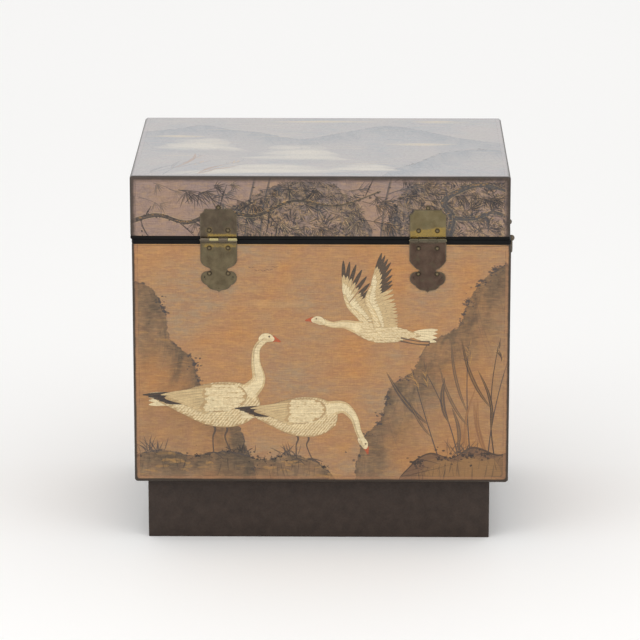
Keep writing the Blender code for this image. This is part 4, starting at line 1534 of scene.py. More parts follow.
def paint_body_front(sheet):
    dice = sheet["dice"]
    far = add_slope(
        sheet, "far_slope",
        [(0.62, 0.372), (0.575, 0.352), (0.54, 0.305), (0.525, 0.262), (0.475, 0.232), (0.45, 0.185),
         (0.415, 0.160), (0.40, 0.105), (0.37, 0.07), (0.355, -0.01)],
        [(0.62, -0.01)],
    )
    middle = add_slope(
        sheet, "middle_slope",
        [(-0.01, 0.335), (0.025, 0.328), (0.05, 0.285), (0.058, 0.24), (0.095, 0.205), (0.11, 0.155),
         (0.155, 0.12), (0.18, 0.06), (0.2, -0.01)],
        [(-0.01, -0.01)],
    )
    near = add_slope(
        sheet, "near_slope",
        [(-0.01, 0.040), (0.04, 0.052), (0.09, 0.043), (0.15, 0.050), (0.21, 0.036), (0.25, 0.045),
         (0.30, 0.030), (0.335, -0.01)],
        [(-0.01, -0.01)],
    )
    lay_strata(sheet, far, 0.12, 40, SEPIA, 0.22)
    lay_strata(sheet, middle, 0.08, 34, SEPIA, 0.25)
    lay_gold(sheet, far, 0.14, 26, 0.22)
    lay_gold(sheet, middle, 0.10, 18, 0.25)
    lay_moss(sheet, far, 300, 0.006, SOFT_INK)
    lay_moss(sheet, middle, 230, 0.006, SOFT_INK)
    lay_mist(sheet, (0.22, 0.30), 0.20, 0.016, CREAM, 0.035)
    lay_reed(sheet, (0.500, 0.02), math.pi / 2 + 0.32, 0.17)
    for x in (0.53, 0.548, 0.572, 0.588):
        tint = dice.choice((INK, SEPIA, SOFT_INK))
        lay_reed(sheet, (x, 0.02), math.pi / 2 + dice.uniform(-0.12, 0.3), dice.uniform(0.14, 0.21),
                 tint)
    lay_rock(sheet, (
        (0.44, -0.01), (0.45, 0.028), (0.48, 0.048), (0.515, 0.040), (0.55, 0.058), (0.59, 0.045),
        (0.62, 0.05), (0.62, -0.01),
    ), 30)
    lay_moss(sheet, curve_through([(0.45, 0.03), (0.515, 0.042), (0.59, 0.047)], 8), 150, 0.008, INK,
             0.0020)
    lay_strata(sheet, curve_through([(0.45, 0.02), (0.515, 0.040), (0.60, 0.045)], 8), 0.035, 40, INK,
               0.5)
    lay_grass(sheet, (0.53, 0.045), 22, 0.032, SEPIA)
    lay_flying_goose(sheet, (0.402, 0.252), 0.88, True, -0.10)
    lay_gold(sheet, near, 0.035, 34, 0.5)
    lay_strata(sheet, near, 0.03, 46, INK, 0.45)
    lay_moss(sheet, near, 190, 0.006)
    lay_grass(sheet, (0.030, 0.048), 20, 0.03)
    lay_grass(sheet, (0.255, 0.042), 16, 0.026)
    lay_goose(sheet, (0.138, 0.133), 0.98, False, [(44, 14), (64, 38), (60, 68), (62, 94), (78, 112)],
              -0.12)
    lay_goose(sheet, (0.272, 0.112), 0.86, False,
              [(44, 10), (76, 16), (97, -4), (106, -32), (116, -54)], -1.05)
    lay_grass(sheet, (0.175, 0.048), 14, 0.02, INK)
    lay_far_birds(sheet, (0.19, 0.352), 5, 0.006)
    lay_rim_highlight_and_shade_lines(sheet)
    lay_painted_shade_in_eyes(sheet)


paper_side(BODY, "front", 11, paint_body_front)


# %% Sides and back of the body
def paint_hills(sheet):
    """A plainer scene: two hillsides, moss on them, and reeds at the foot."""
    width, height = sheet["size"]
    dice = sheet["dice"]
    tilt = dice.uniform(0.0, 1.4)
    far = add_slope(
        sheet, "far_slope",
        [(width * share,
          height * (0.55 + 0.20 * math.sin(2.2 * share + tilt) + dice.uniform(-0.03, 0.03)))
         for share in (-0.02, 0.12, 0.25, 0.38, 0.5, 0.62, 0.75, 0.88, 1.02)],
        [(width * 1.02, -0.02), (-0.02, -0.02)],
    )
    peak = dice.uniform(0.25, 0.36)
    near = add_slope(
        sheet, "near_slope",
        [(-0.01, height * peak), (width * 0.14, height * (peak + 0.02)),
         (width * 0.24, height * (peak - 0.08)),
         (width * 0.45, height * 0.14), (width * 0.6, height * 0.15), (width * 0.75, height * 0.08),
         (width * 1.02, height * 0.18)],
        [(width * 1.02, -0.02), (-0.01, -0.02)],
    )
    lay_strata(sheet, far, 0.14, 50, SEPIA, 0.22)
    lay_strata(sheet, near, 0.05, 40, SEPIA, 0.35)
    lay_gold(sheet, far, 0.12, 24, 0.22)
    lay_gold(sheet, near, 0.05, 24, 0.4)
    lay_moss(sheet, far, HILL_MOSS, 0.006, SOFT_INK)
    lay_moss(sheet, near, HILL_MOSS, 0.006)
    for _ in range(HILL_REEDS):
        x = width * dice.uniform(0.55, 0.95)
        lay_reed(sheet, (x, height * 0.08), math.pi / 2 + dice.uniform(-0.2, 0.35),
                 dice.uniform(0.12, 0.2))
    lay_far_birds(sheet, (width * dice.uniform(0.15, 0.4), height * 0.86), 5, 0.006)
    lay_rim_highlight_and_shade_lines(sheet)


for side, seed in (("left", 21), ("right", 22), ("back", 23)):
    paper_side(BODY, side, seed, paint_hills)

# %% [markdown]
# ## The picture on the lid
# Dark bamboo and a gnarled branch crowd the front of the lid, some leaves with a golden edge.
# Its top shows banks of cloud and blue grey hills. From the front the top is seen at a very
# flat angle, where the lacquer shows the bright air like a mirror, so its colours look veiled.
# The top's silk is also painted paler and greyer than the rest, a painted reflection of that air.

# %% Front of the lid
SMOKE = (0.060, 0.058, 0.062)
DIM_GOLD = (0.36, 0.23, 0.11)


def paint_lid_front(sheet):
    width = sheet["size"][0]
    dice = sheet["dice"]
    far = add_slope(
        sheet, "far_slope",
        [(0.10, -0.01), (0.13, 0.03), (0.18, 0.055), (0.24, 0.085), (0.31, 0.09), (0.35, 0.06),
         (0.38, 0.02), (0.39, -0.01)],
        [(0.24, -0.02)],
    )
    middle = add_slope(
        sheet, "middle_slope",
        [(0.40, -0.01), (0.415, 0.03), (0.435, 0.07), (0.47, 0.11)],
        [(0.62, 0.11), (0.62, -0.01)],
    )
    lay_strata(sheet, far, 0.06, 60, SMOKE, 0.5)
    lay_strata(sheet, middle, 0.06, 60, SMOKE, 0.45)
    lay_moss(sheet, middle, 120, 0.007)
    for share in (0.30, 0.34, 0.66):
        stem = [(width * share, -0.01), (width * share + 0.006, 0.045), (width * share + 0.018, 0.1)]
        brush(sheet, stem, (0.0042, 0.0038, 0.0034), 5, SMOKE, 0.75)
        brush(sheet, [point + np.array((0.0012, 0.0)) for point in placed(stem, (0, 0), 1000)],
                          (0.0010, 0.0008, 0.0006), 4, DIM_GOLD, 0.45)
        for z in (0.022, 0.055, 0.08):
            lay(sheet, blob((width * share + 0.011 * z / 0.06, z), 0.0026, dice, 7, 0.45), INK, 0.8)
    for share in np.linspace(0.12, 0.98, 56):
        at = (width * share + dice.uniform(-0.012, 0.006), dice.uniform(0.012, 0.095))
        tint = dice.choice((INK, INK, SMOKE, SEPIA))
        light = dice.choice((DIM_GOLD, OCHRE, CREAM)) if 0.2 < share < 0.7 else DIM_GOLD
        lay_bamboo_spray(sheet, at, dice.uniform(-0.6, 0.5), dice.uniform(0.018, 0.034), 3, tint, 0.85,
                         light)
    line = (
        (-0.01, 0.020), (0.04, 0.034), (0.09, 0.022), (0.14, 0.040), (0.2, 0.034), (0.26, 0.058),
        (0.33, 0.050), (0.40, 0.074),
    )
    lay_branch(sheet, line, (0.008, 0.006, 0.007, 0.005, 0.003, 0.002), 14)
    for share in (0.02, 0.06, 0.10):
        lay_bamboo_spray(sheet, (width * share, dice.uniform(0.05, 0.09)), -0.3, 0.022, 2, SMOKE, 0.55,
                         DIM_GOLD)
    twisted = ((0.505, -0.01), (0.515, 0.03), (0.50, 0.055), (0.525, 0.075), (0.56, 0.085),
               (0.60, 0.075))
    lay_branch(sheet, twisted, (0.013, 0.011, 0.009, 0.007, 0.004), 8, SMOKE)
    lay_branch(sheet, (twisted[1], (0.55, 0.03), (0.58, 0.04), (0.61, 0.03)),
               (0.008, 0.006, 0.003), 5, SMOKE)


paper_side(LID, "front", 31, paint_lid_front)


# %% Sides and back of the lid
def paint_lid_side(sheet):
    width, height = sheet["size"]
    dice = sheet["dice"]
    slope = add_slope(
        sheet, "middle_slope",
        [(-0.01, height * 0.3), (width * 0.3, height * 0.62), (width * 0.6, height * 0.5),
         (width * 1.02, height * 0.8)],
        [(width * 1.02, -0.01), (-0.01, -0.01)],
    )
    lay_strata(sheet, slope, 0.04, 50, SMOKE, 0.3)
    lay_moss(sheet, slope, 110, 0.007)
    for share in np.linspace(0.05, 0.95, 26):
        at = (width * share, dice.uniform(0.02, 0.09))
        lay_bamboo_spray(sheet, at, dice.uniform(-0.6, 0.4), dice.uniform(0.018, 0.030), 3,
                         dice.choice((INK, SMOKE)), 0.65, DIM_GOLD)


for side, seed in (("left", 41), ("right", 42), ("back", 43)):
    paper_side(LID, side, seed, paint_lid_side)


# %% Top of the lid
CLOUD = (0.62, 0.55, 0.43)


def paint_lid_top(sheet):
    dice = sheet["dice"]
    far = add_slope(
        sheet, "far_slope",
        [(-0.01, 0.33), (0.06, 0.36), (0.10, 0.39), (0.15, 0.35), (0.2, 0.33), (0.26, 0.28),
         (0.3, 0.30), (0.36, 0.35),
         (0.41, 0.385), (0.46, 0.36), (0.52, 0.30), (0.61, 0.24)],
        [(0.61, 0.12), (0.4, 0.06), (-0.01, 0.2)],
    )
    near = add_slope(
        sheet, "near_slope",
        [(0.40, -0.01), (0.42, 0.05), (0.46, 0.10), (0.5, 0.17), (0.56, 0.2), (0.61, 0.19)],
        [(0.61, -0.01)],
    )
    lay_strata(sheet, far, 0.12, 50, GREY_BLUE, 0.4)
    lay_strata(sheet, near, 0.10, 40, GREY_BLUE, 0.4)
    lay_moss(sheet, near, 120, 0.008)
    lay_cloud(sheet, (0.105, 0.215), 0.17, 0.075, CLOUD, 0.20, -0.03)
    lay_cloud(sheet, (0.265, 0.145), 0.20, 0.090, CLOUD, 0.20, -0.02)
    lay_cloud(sheet, (0.20, 0.035), 0.34, 0.060, CLOUD, 0.20, 0.03)
    lay_cloud(sheet, (0.375, 0.055), 0.13, 0.050, CLOUD, 0.16, -0.01)
    for _ in range(70):
        x, y = dice.uniform(0.0, 0.58), dice.uniform(0.02, 0.43)
        streak = [(x, y), (x + dice.uniform(0.02, 0.05), y + dice.uniform(-0.006, 0.006)),
                  (x + dice.uniform(0.06, 0.11), y)]
        tint = dice.choice((GREY_BLUE, GREY_BLUE, CREAM, CLOUD))
        brush(sheet, streak, (0.0005, dice.uniform(0.003, 0.008), 0.0005), 6, tint,
              dice.uniform(0.06, 0.20))
    for x, y, length in ((0.47, 0.24, 0.12), (0.3, 0.42, 0.2), (0.06, 0.30, 0.10), (0.50, 0.42, 0.1)):
        lay_mist(sheet, (x, y), length, 0.02, CREAM, 0.22)
    lay_far_birds(sheet, (0.36, 0.27), 5, 0.014, GREY_BLUE)
    for x in (0.02, 0.05, 0.08, 0.10):
        lay_reed(sheet, (x, 0.01), math.pi / 2 + dice.uniform(-0.9, 0.1), dice.uniform(0.1, 0.16),
                 GREY_BLUE)


lid_width = lid_high.x - lid_low.x - 2 * SHEET_INSET
lid_depth = lid_high.y - lid_low.y - 2 * SHEET_INSET
lid_top = new_sheet(lid_width, lid_depth, "none", 51)
paint_lid_top(lid_top)
fix_sheet(
    "lid_sheet_top", lid_top,
    (lid_low.x + SHEET_INSET, lid_low.y + SHEET_INSET, lid_high.z), (1, 0, 0), (0, 1, 0),
    lid_top_silk_painted_reflection, "lid",
)


# %% [markdown]
# ## The finish of the brass
# The brass is old. A brown film lies over it, olive on the left hinge and redder on the right
# one, and where fingers rub, the metal shows gold. The film is a darker, rougher and less
# metallic colour, and masks say where it is worn through. The same masks also paint light:
# the gold band above the knuckles is partly wear and partly a painted highlight where the
# leaves turn, the top half of each barrel is a painted highlight, and so, with some wear, is
# the middle of each nail head. A darker ring lies round each nail.

# %% Group: brown film on brass
@node_group(
    "brass_film",
    [("Vector", "Vector", None), ("Film", "Color", (0.1, 0.08, 0.05, 1)),
     ("Light Film", "Color", (0.2, 0.16, 0.1, 1)), ("Metal", "Color", (0.7, 0.45, 0.14, 1)),
     ("Wear And Highlight", "Float", 0.0)],
    [("Color", "Color"), ("Roughness", "Float"), ("Metallic", "Float"), ("Height", "Float")],
)
def film_group(group, given, out):
    place = given["Vector"]
    clouds = use_group(group, clouds_group, {"Vector": place, "Size": 0.016, "Contrast": 1.6})
    specks = use_group(group, specks_group, {"Vector": place, "Size": 0.0009, "Share": 0.5})
    film = mix(group, clouds["Broad"], given["Film"], given["Light Film"])
    film = mix(group, times(group, specks["Mask"], 0.35), film, given["Light Film"])
    green = times(group, spread(group, noise(group, place, 75.0, 3.0, 0.6), 0.5, 0.72), 0.45)
    film = mix(group, green, film, mix(group, 0.5, given["Film"], (0.115, 0.120, 0.065, 1)))
    drift = times(group, minus(group, clouds["Fine"], 0.5), 0.32)
    # How far the metal shows through the film: wear, and the painted highlights that the masks add.
    worn = spread(group, plus(group, given["Wear And Highlight"], drift), 0.16, 0.90)
    scratches = stretched_noise(group, place, (120.0, 120.0, 2200.0), 2.0, 0.6)
    group.links.new(mix(group, worn, film, given["Metal"]), out["Color"])
    dull = spread(group, clouds["Fine"], 0.2, 0.8, 0.36, 0.52)
    group.links.new(spread(group, worn, 0.0, 1.0, dull, 0.27), out["Roughness"])
    group.links.new(spread(group, worn, 0.0, 1.0, 0.72, 1.0), out["Metallic"])
    dents = plus(group, clouds["Fine"], times(group, scratches, 0.35))
    group.links.new(dents, out["Height"])


# %% Brass
def wear_and_highlight_band(tree, place, band):
    """A bright band above the seam, partly wear, partly painted highlight: from, to, strength, its rise
    to the right, and where it starts.
    """
    low, high, strength, tilt, start_x = band
    parts = add_node(tree, "ShaderNodeSeparateXYZ", {0: place}).outputs
    above = minus(tree, parts["Z"], seam_z)
    along = minus(tree, parts["X"], start_x)
    leaning = minus(tree, above, times(tree, along, tilt))
    rise = spread(tree, above, low - 0.0012, low)
    fall = spread(tree, leaning, high - 0.0040, high + 0.0015, 1.0, 0.0)
    begin = spread(tree, along, -0.002, 0.005)
    inside = times(tree, times(tree, rise, fall), begin)
    return times(tree, inside, strength)


def near_spot(tree, place, centre, radius, strength, core=0.4):
    apart = add_node(tree, "ShaderNodeVectorMath", {0: place, 1: centre}, operation="DISTANCE")
    near = spread(tree, apart.outputs["Value"], radius * core, radius, 1.0, 0.0)
    return times(tree, near, strength)


def make_brass(name, film, light_film, metal, bands=(), spots=(), base_wear=0.1, nails=(), domed=False):
    """Old brass. Bands and spots are bright, partly wear, partly painted highlight. Nails get dark
    rings.
    """
    material, tree, shader = new_material(name, metallic=0.8, roughness=0.4)
    place = object_place(tree)
    worn = base_wear
    for band in bands:
        worn = plus(tree, worn, wear_and_highlight_band(tree, place, band))
    for centre, radius, strength in spots:
        worn = plus(tree, worn, near_spot(tree, place, centre, radius, strength))
    # On a nail, the middle of the dome is made bright metal: partly wear, partly a painted highlight.
    if domed:
        worn = spread(tree, reading(tree, "from_axis"), 0.0008, 0.0022, 0.9, base_wear)
    aged = use_group(tree, film_group, {
        "Vector": place, "Film": film, "Light Film": light_film, "Metal": metal, "Wear And Highlight": worn,
    })
    colour = aged["Color"]
    # A darker ring on the leaf round each nail.
    for centre in nails:
        dark_ring_round_nail = near_spot(tree, place, centre, 0.0052, 0.60, 0.66)
        colour = mix(tree, dark_ring_round_nail, colour, (0.034, 0.025, 0.014, 1))
    # A darker ring at the edge of each nail's dome.
    if domed:
        rim = spread(tree, reading(tree, "from_axis"), 0.0020, 0.0031, 0.0, 0.6)
        colour = mix(tree, rim, colour, (0.030, 0.021, 0.012, 1))
    feed(tree, shader, base_color=colour, roughness=aged["Roughness"], metallic=aged["Metallic"],
         normal=height_to_normal(tree, aged["Height"], 0.00012))
    return material


GOLD = (0.33, 0.225, 0.070, 1)
PALE_GOLD = (0.42, 0.36, 0.18, 1)


def nail_places(side, part):
    """Where the nails of a leaf stand, on the face of the leaf."""
    below = ("body_left", "body_right", "foot_left", "foot_right")
    names = ("lid_left", "lid_right") if part == "lid" else below
    boxes = [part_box("hinge_%s_nail_%s" % (side, name)) for name in names]
    return [((low.x + high.x) / 2, body_low.y - 0.0014, (low.z + high.z) / 2) for low, high in boxes]


def hinge_span(side):
    low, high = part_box("hinge_%s_lid_leaf" % side)
    return low.x, high.x


left_edge, right_edge = hinge_span("left")[0], hinge_span("right")[0]
# The bands just above the knuckles on the lid leaves are partly wear and partly a painted highlight
# where the leaf turns toward its knuckle.
LEAF_FINISHES = {
    ("left", "lid"): (
        (0.081, 0.059, 0.039, 1), (0.128, 0.097, 0.063, 1),
        [(0.0042, 0.0105, 0.72, 0.0, left_edge + 0.010)],
    ),
    ("left", "body"): (
        (0.105, 0.079, 0.044, 1), (0.166, 0.131, 0.074, 1),
        [(-0.0120, -0.0050, 0.42, 0.0, left_edge + 0.003)],
    ),
    ("right", "lid"): (
        (0.143, 0.109, 0.051, 1), (0.206, 0.165, 0.088, 1),
        [(0.0030, 0.0155, 0.58, 0.12, right_edge - 0.006),
         (0.0030, 0.0080, 0.20, 0.0, right_edge - 0.006)],
    ),
    ("right", "body"): ((0.072, 0.043, 0.030, 1), (0.114, 0.073, 0.051, 1), []),
}
leaf_brass = {}
for (side, part), (film, light_film, bands) in LEAF_FINISHES.items():
    places = nail_places(side, part)
    wears = (side, part) != ("right", "body")
    rubbed = [(place, 0.0095, 0.22) for place in places[:2]] if wears else []
    leaf_brass[side, part] = make_brass(
        "brass_%s_%s_leaf" % (side, part), film, light_film, GOLD, bands, rubbed, 0.1, places,
    )
BARREL_METALS = {
    ("left", "body"): PALE_GOLD, ("left", "lid"): (0.155, 0.125, 0.090, 1),
    ("right", "body"): (0.120, 0.104, 0.070, 1), ("right", "lid"): (0.105, 0.090, 0.062, 1),
}
# Each barrel's band turns its top half to brighter metal: a painted highlight of the light from above.
barrel_brass = {
    key: make_brass(
        "brass_%s_%s_barrel" % key, (0.105, 0.082, 0.056, 1), (0.150, 0.120, 0.082, 1), metal,
        [(0.0002, 0.0070, 0.85, 0.0, hinge_span(key[0])[0] - 0.01)],
    )
    for key, metal in BARREL_METALS.items()
}
edge_brass = make_brass("brass_edges", (0.100, 0.080, 0.055, 1), (0.155, 0.125, 0.085, 1), GOLD)
pin_brass = make_brass("brass_pins", (0.20, 0.17, 0.11, 1), (0.30, 0.26, 0.17, 1), PALE_GOLD, (), (),
                       0.6)
nail_brass = make_brass(
    "brass_nails", (0.078, 0.056, 0.032, 1), (0.13, 0.098, 0.055, 1), (0.21, 0.165, 0.095, 1),
    domed=True,
)
handle_brass = make_brass(
    "brass_handles", (0.088, 0.070, 0.050, 1), (0.14, 0.112, 0.078, 1), GOLD, (), (), 0.16,
)
print("brasses made:", len(leaf_brass) + len(barrel_brass) + 4)

# %% [markdown]
# ## The hinge leaves
# A leaf is cut from sheet brass. Its outline is drawn once as half a curve and mirrored: a
# square shoulder, a waist, a heart-shaped foot. A filled flat curve gives the sheet. Made a
# mesh, its front is inset for the filed slope, and the small eyes are drilled after that.
# Where the other leaf's knuckles turn, the root of the sheet is notched.

# %% Outlines of the leaves
LEAF_THICKNESS = 0.0012
LEAF_GAP = 0.0003
CHAMFER_WIDTH = 0.0011
CHAMFER_DEPTH = 0.00035
KNUCKLE_RADIUS = 0.004
KNUCKLE_BORE = 0.0021
KNUCKLE_EASE = 0.00035
KNUCKLES = 4
LID_LEAF_LENGTH = 0.050
BODY_LEAF_LENGTH = 0.087
TAB_RADIUS = 0.004
TAB_RISE = 0.003
LID_SIDE = (
    ((1.0, 0.84),), ((0.96, 0.85),), ((0.88, 0.86), (0.80, 0.91), (0.78, 0.965)), ((0.76, 1.0),),
)
BODY_SIDES_OF_LEAF = {
    "left": (
        ((1.0, 0.37),), ((1.0, 0.45), (0.85, 0.50), (0.65, 0.525)),
        ((0.53, 0.54), (0.46, 0.55), (0.46, 0.57)),
    ),
    "right": (
        ((1.0, 0.39),), ((0.97, 0.43), (0.78, 0.50), (0.64, 0.54)),
        ((0.55, 0.56), (0.46, 0.56), (0.46, 0.58)),
    ),
}
BODY_FOOT = (
    ((0.46, 0.59), (0.50, 0.605), (0.58, 0.605)), ((0.80, 0.60), (0.98, 0.65), (0.98, 0.725)),
    ((0.98, 0.80), (0.84, 0.845), (0.655, 0.87)), ((0.59, 0.925), (0.42, 0.955), (0.22, 0.96)),
    ((0.13, 0.962), (0.06, 0.975), (0.0, 1.0)),
)
EYES = ((0.0228, 0.0620, 0.0008, 0.0020), (0.0210, 0.0655, 0.0006, 0.0009))
FOOT_DOT = (0.0, 0.0810, 0.0007, 0.0007)


def half_outline(stretches, start, half_width, length):
    """Points down one side of a leaf. A stretch is a corner, or three points of a Bezier curve."""
    points = [np.array(start, float)]
    for stretch_points in stretches:
        ends = [np.array((x * half_width, z * length)) for x, z in stretch_points]
        if len(ends) == 1:
            points.append(ends[0])
            continue
        first = points[-1]
        for t in np.linspace(0.125, 1.0, 8):
            curve = first * (1 - t) ** 3 + ends[0] * 3 * t * (1 - t) ** 2
            points.append(curve + ends[1] * 3 * t * t * (1 - t) + ends[2] * t ** 3)
    return points


def knuckle_spans(width):
    pitch = (width + LEAF_GAP) / KNUCKLES
    starts = [-width / 2 + index * pitch for index in range(KNUCKLES)]
    return [(start, start + pitch - LEAF_GAP) for start in starts]


def root_line(width, own):
    """The root of a leaf, sunk into its own knuckles and notched clear of the others."""
    line = []
    for index, (start, end) in enumerate(knuckle_spans(width)):
        if index % 2 == own:
            line += [(start, 0.25 * KNUCKLE_RADIUS), (end, 0.25 * KNUCKLE_RADIUS)]
        else:
            left = start - LEAF_GAP if index > 0 else start
            right = end + LEAF_GAP if index < KNUCKLES - 1 else end
            line += [(left, KNUCKLE_RADIUS + LEAF_GAP), (right, KNUCKLE_RADIUS + LEAF_GAP)]
    kept = [line[0]]
    for point in line[1:]:
        if math.dist(point, kept[-1]) > 1e-6:
            kept.append(point)
    return [np.array(point, float) for point in kept]


def leaf_outline(side, part, width):
    """The outline of a leaf, its height growing away from the knuckles."""
    if part == "lid":
        root = root_line(width, 0)
        half = half_outline(LID_SIDE, root[-1], width / 2, LID_LEAF_LENGTH)
        foot = -math.asin(TAB_RISE / TAB_RADIUS)
        for angle in np.linspace(foot, math.pi / 2, 9):
            x, z = TAB_RADIUS * math.cos(angle), TAB_RADIUS * math.sin(angle)
            half.append(np.array((x, LID_LEAF_LENGTH + TAB_RISE + z)))
    else:
        root = root_line(width, 1)
        half = half_outline(BODY_SIDES_OF_LEAF[side] + BODY_FOOT, root[-1], width / 2, BODY_LEAF_LENGTH)
    return root + half[1:] + [np.array((-x, z)) for x, z in half[1:-1][::-1]]


# %% Cut a leaf from sheet
def flat_sheet(name, outline, thickness):
    """A flat curve, filled and thickened, made a mesh."""
    curve = bpy.data.curves.new(name, "CURVE")
    curve.dimensions = "2D"
    curve.fill_mode = "BOTH"
    curve.extrude = thickness / 2
    spline = curve.splines.new("POLY")
    spline.points.add(len(outline) - 1)
    for point, (x, z) in zip(spline.points, outline):
        point.co = (x, z, 0.0, 1.0)
    spline.use_cyclic_u = True
    sheet = bpy.data.objects.new(name, curve)
    bring_in(sheet)
    take(sheet)
    bpy.ops.object.convert(target="MESH")
    sheet = bpy.context.object
    edit(sheet, "VERT")
    weld()
    return sheet


def add_knuckle(name, start, end, axis_place, finish):
    """A bored barrel: a cylinder whose ends are inset and bridged through."""
    clear_selection()
    centre = (axis_place[0] + (start + end) / 2, axis_place[1], axis_place[2])
    bpy.ops.mesh.primitive_cylinder_add(
        vertices=32, radius=KNUCKLE_RADIUS, depth=end - start, location=centre,
        rotation=(0.0, math.pi / 2, 0.0),
    )
    knuckle = rename(bpy.context.object, name)
    settle(knuckle)
    mesh = edit(knuckle, "FACE")
    pick(knuckle, [face for face in mesh.faces if abs(face.normal.x) > 0.9])
    bpy.ops.mesh.inset(thickness=KNUCKLE_RADIUS - KNUCKLE_BORE, depth=0.0)
    bpy.ops.mesh.bridge_edge_loops()
    mesh = edit(knuckle, "EDGE")
    rims = [
        edge for edge in mesh.edges
        if edge.calc_face_angle(0.0) > 1.0 and math.hypot(
            edge.verts[0].co.y - centre[1], edge.verts[0].co.z - centre[2]) > KNUCKLE_RADIUS * 0.9
    ]
    pick(knuckle, rims)
    round_picked(KNUCKLE_EASE, 2)
    knuckle.data.materials.append(finish)
    return knuckle


def pierce(sheet, centre, half_across, half_up):
    """Cut a small oval eye through a leaf."""
    clear_selection()
    bpy.ops.mesh.primitive_cylinder_add(
        vertices=20, radius=1.0, depth=0.01, location=centre, rotation=(math.pi / 2, 0.0, 0.0),
    )
    drill = bpy.context.object
    drill.scale = (half_across, half_up, 1.0)
    settle(drill)
    cut_away(sheet, drill)


def make_leaf(side, part):
    node = "hinge_%s_%s_leaf" % (side, part)
    low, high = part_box(node)
    pin_low, pin_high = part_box("hinge_%s_pin" % side)
    width = high.x - low.x
    centre_x = (low.x + high.x) / 2
    up = 1 if part == "lid" else -1
    outline = [(x, z * up) for x, z in leaf_outline(side, part, width)]
    leaf_piece = flat_sheet("hinge_%s_%s_plate" % (side, part), outline, LEAF_THICKNESS - CHAMFER_DEPTH)
    leaf_piece.rotation_euler = (math.pi / 2, 0.0, 0.0)
    back_y = body_low.y - LEAF_GAP
    leaf_piece.location = (centre_x, back_y - (LEAF_THICKNESS - CHAMFER_DEPTH) / 2, seam_z)
    settle(leaf_piece)
    mesh = edit(leaf_piece, "FACE")
    pick(leaf_piece, faces_up(mesh, Vector((0, -1, 0)), 0.99))
    bpy.ops.mesh.inset(thickness=CHAMFER_WIDTH, depth=CHAMFER_DEPTH, use_even_offset=True)
    bpy.ops.object.mode_set(mode="OBJECT")
    leaf_piece.data.materials.append(leaf_brass[side, part])
    leaf_piece.data.materials.append(edge_brass)
    for face in leaf_piece.data.polygons:
        face.material_index = 1 if -0.995 < face.normal.y < -0.3 else 0
    if part == "body":
        eyes = [(mirror * x, z, across, height) for x, z, across, height in EYES for mirror in (-1, 1)]
        for x, z, across, height in eyes + [FOOT_DOT]:
            pierce(leaf_piece, (centre_x + x, back_y, seam_z - z), across, height)
    axis_place = (centre_x, (pin_low.y + pin_high.y) / 2, seam_z)
    own = 0 if part == "lid" else 1
    knuckles = [
        add_knuckle("%s_knuckle_%d" % (node, index), start, end, axis_place, barrel_brass[side, part])
        for index, (start, end) in enumerate(knuckle_spans(width)) if index % 2 == own
    ]
    take(leaf_piece)
    for knuckle in knuckles:
        knuckle.select_set(True)
    bpy.ops.object.join()
    smooth_by_angle(leaf_piece, 30)
    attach(leaf_piece, "lid" if part == "lid" else "chest")
    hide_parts(node)
    return leaf_piece


for side in ("left", "right"):
    for part in ("lid", "body"):
        made_leaf = make_leaf(side, part)
        print(made_leaf.name, len(made_leaf.data.polygons), "faces")


# %% [markdown]
# ## Pins, nails and the handles' turned parts
# All of these are round about one axis, so each is a profile that is spun. The profile is
# drawn as points: how far from the axis, and how far along it. A nail head is a low dome with
# a thin rim. No two nails were hit the same way, so each copy is turned and tipped a little.

# %% Spin a profile
def turn_profile(name, profile, axis, steps, finish):
    """A turned piece about an axis through the origin, its profile as (radius, along) points."""
    axis = Vector(axis)
    across = Vector((0, 0, 1))
    places = [across * radius + axis * along for radius, along in profile]
    mesh = bpy.data.meshes.new(name)
    mesh.from_pydata(places, [(i, i + 1) for i in range(len(places) - 1)], [])
    piece = bpy.data.objects.new(name, mesh)
    bring_in(piece)
    edit(piece, "VERT")
    bpy.ops.mesh.select_all(action="SELECT")
    bpy.ops.mesh.spin(steps=steps, angle=TAU, center=(0, 0, 0), axis=axis)
    weld()
    piece.data.materials.append(finish)
    layer = piece.data.attributes.new("from_axis", "FLOAT", "POINT")
    for vert, reading_here in zip(piece.data.vertices, layer.data):
        reading_here.value = (vert.co - axis * vert.co.dot(axis)).length
    smooth_by_angle(piece, 32)
    return piece


def copy_piece(template, name, place, turn=(0.0, 0.0, 0.0)):
    piece = template.copy()
    piece.data = template.data.copy()
    bring_in(piece)
    piece.location = place
    piece.rotation_euler = turn
    settle(piece)
    return rename(piece, name)


def box_centre(node):
    low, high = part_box(node)
    return (low + high) / 2


# %% Nails
NAIL_RADIUS = 0.0034
NAIL_HEIGHT = 0.0018
NAIL_LIFT = 0.00004
NAIL_SEAT = 2 * LEAF_GAP + LEAF_THICKNESS
NAIL_NAMES = {
    "lid": ("lid_left", "lid_right", "lid_tab"),
    "chest": ("body_left", "body_right", "foot_left", "foot_right"),
}


def nail_profile():
    shank_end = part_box("hinge_left_nail_body_left")[1].y - body_low.y
    profile = [(0.0, -shank_end), (0.0006, -shank_end + 0.001), (0.001, -shank_end + 0.0022)]
    profile += [(0.001, NAIL_SEAT), (NAIL_RADIUS, NAIL_SEAT), (NAIL_RADIUS, NAIL_SEAT + 0.00025)]
    for angle in np.linspace(0.16, math.pi / 2, 7):
        along = NAIL_SEAT + NAIL_HEIGHT * math.sin(angle)
        profile.append((NAIL_RADIUS * math.cos(angle) * 0.97, along))
    profile[-1] = (0.0, profile[-1][1])
    return profile


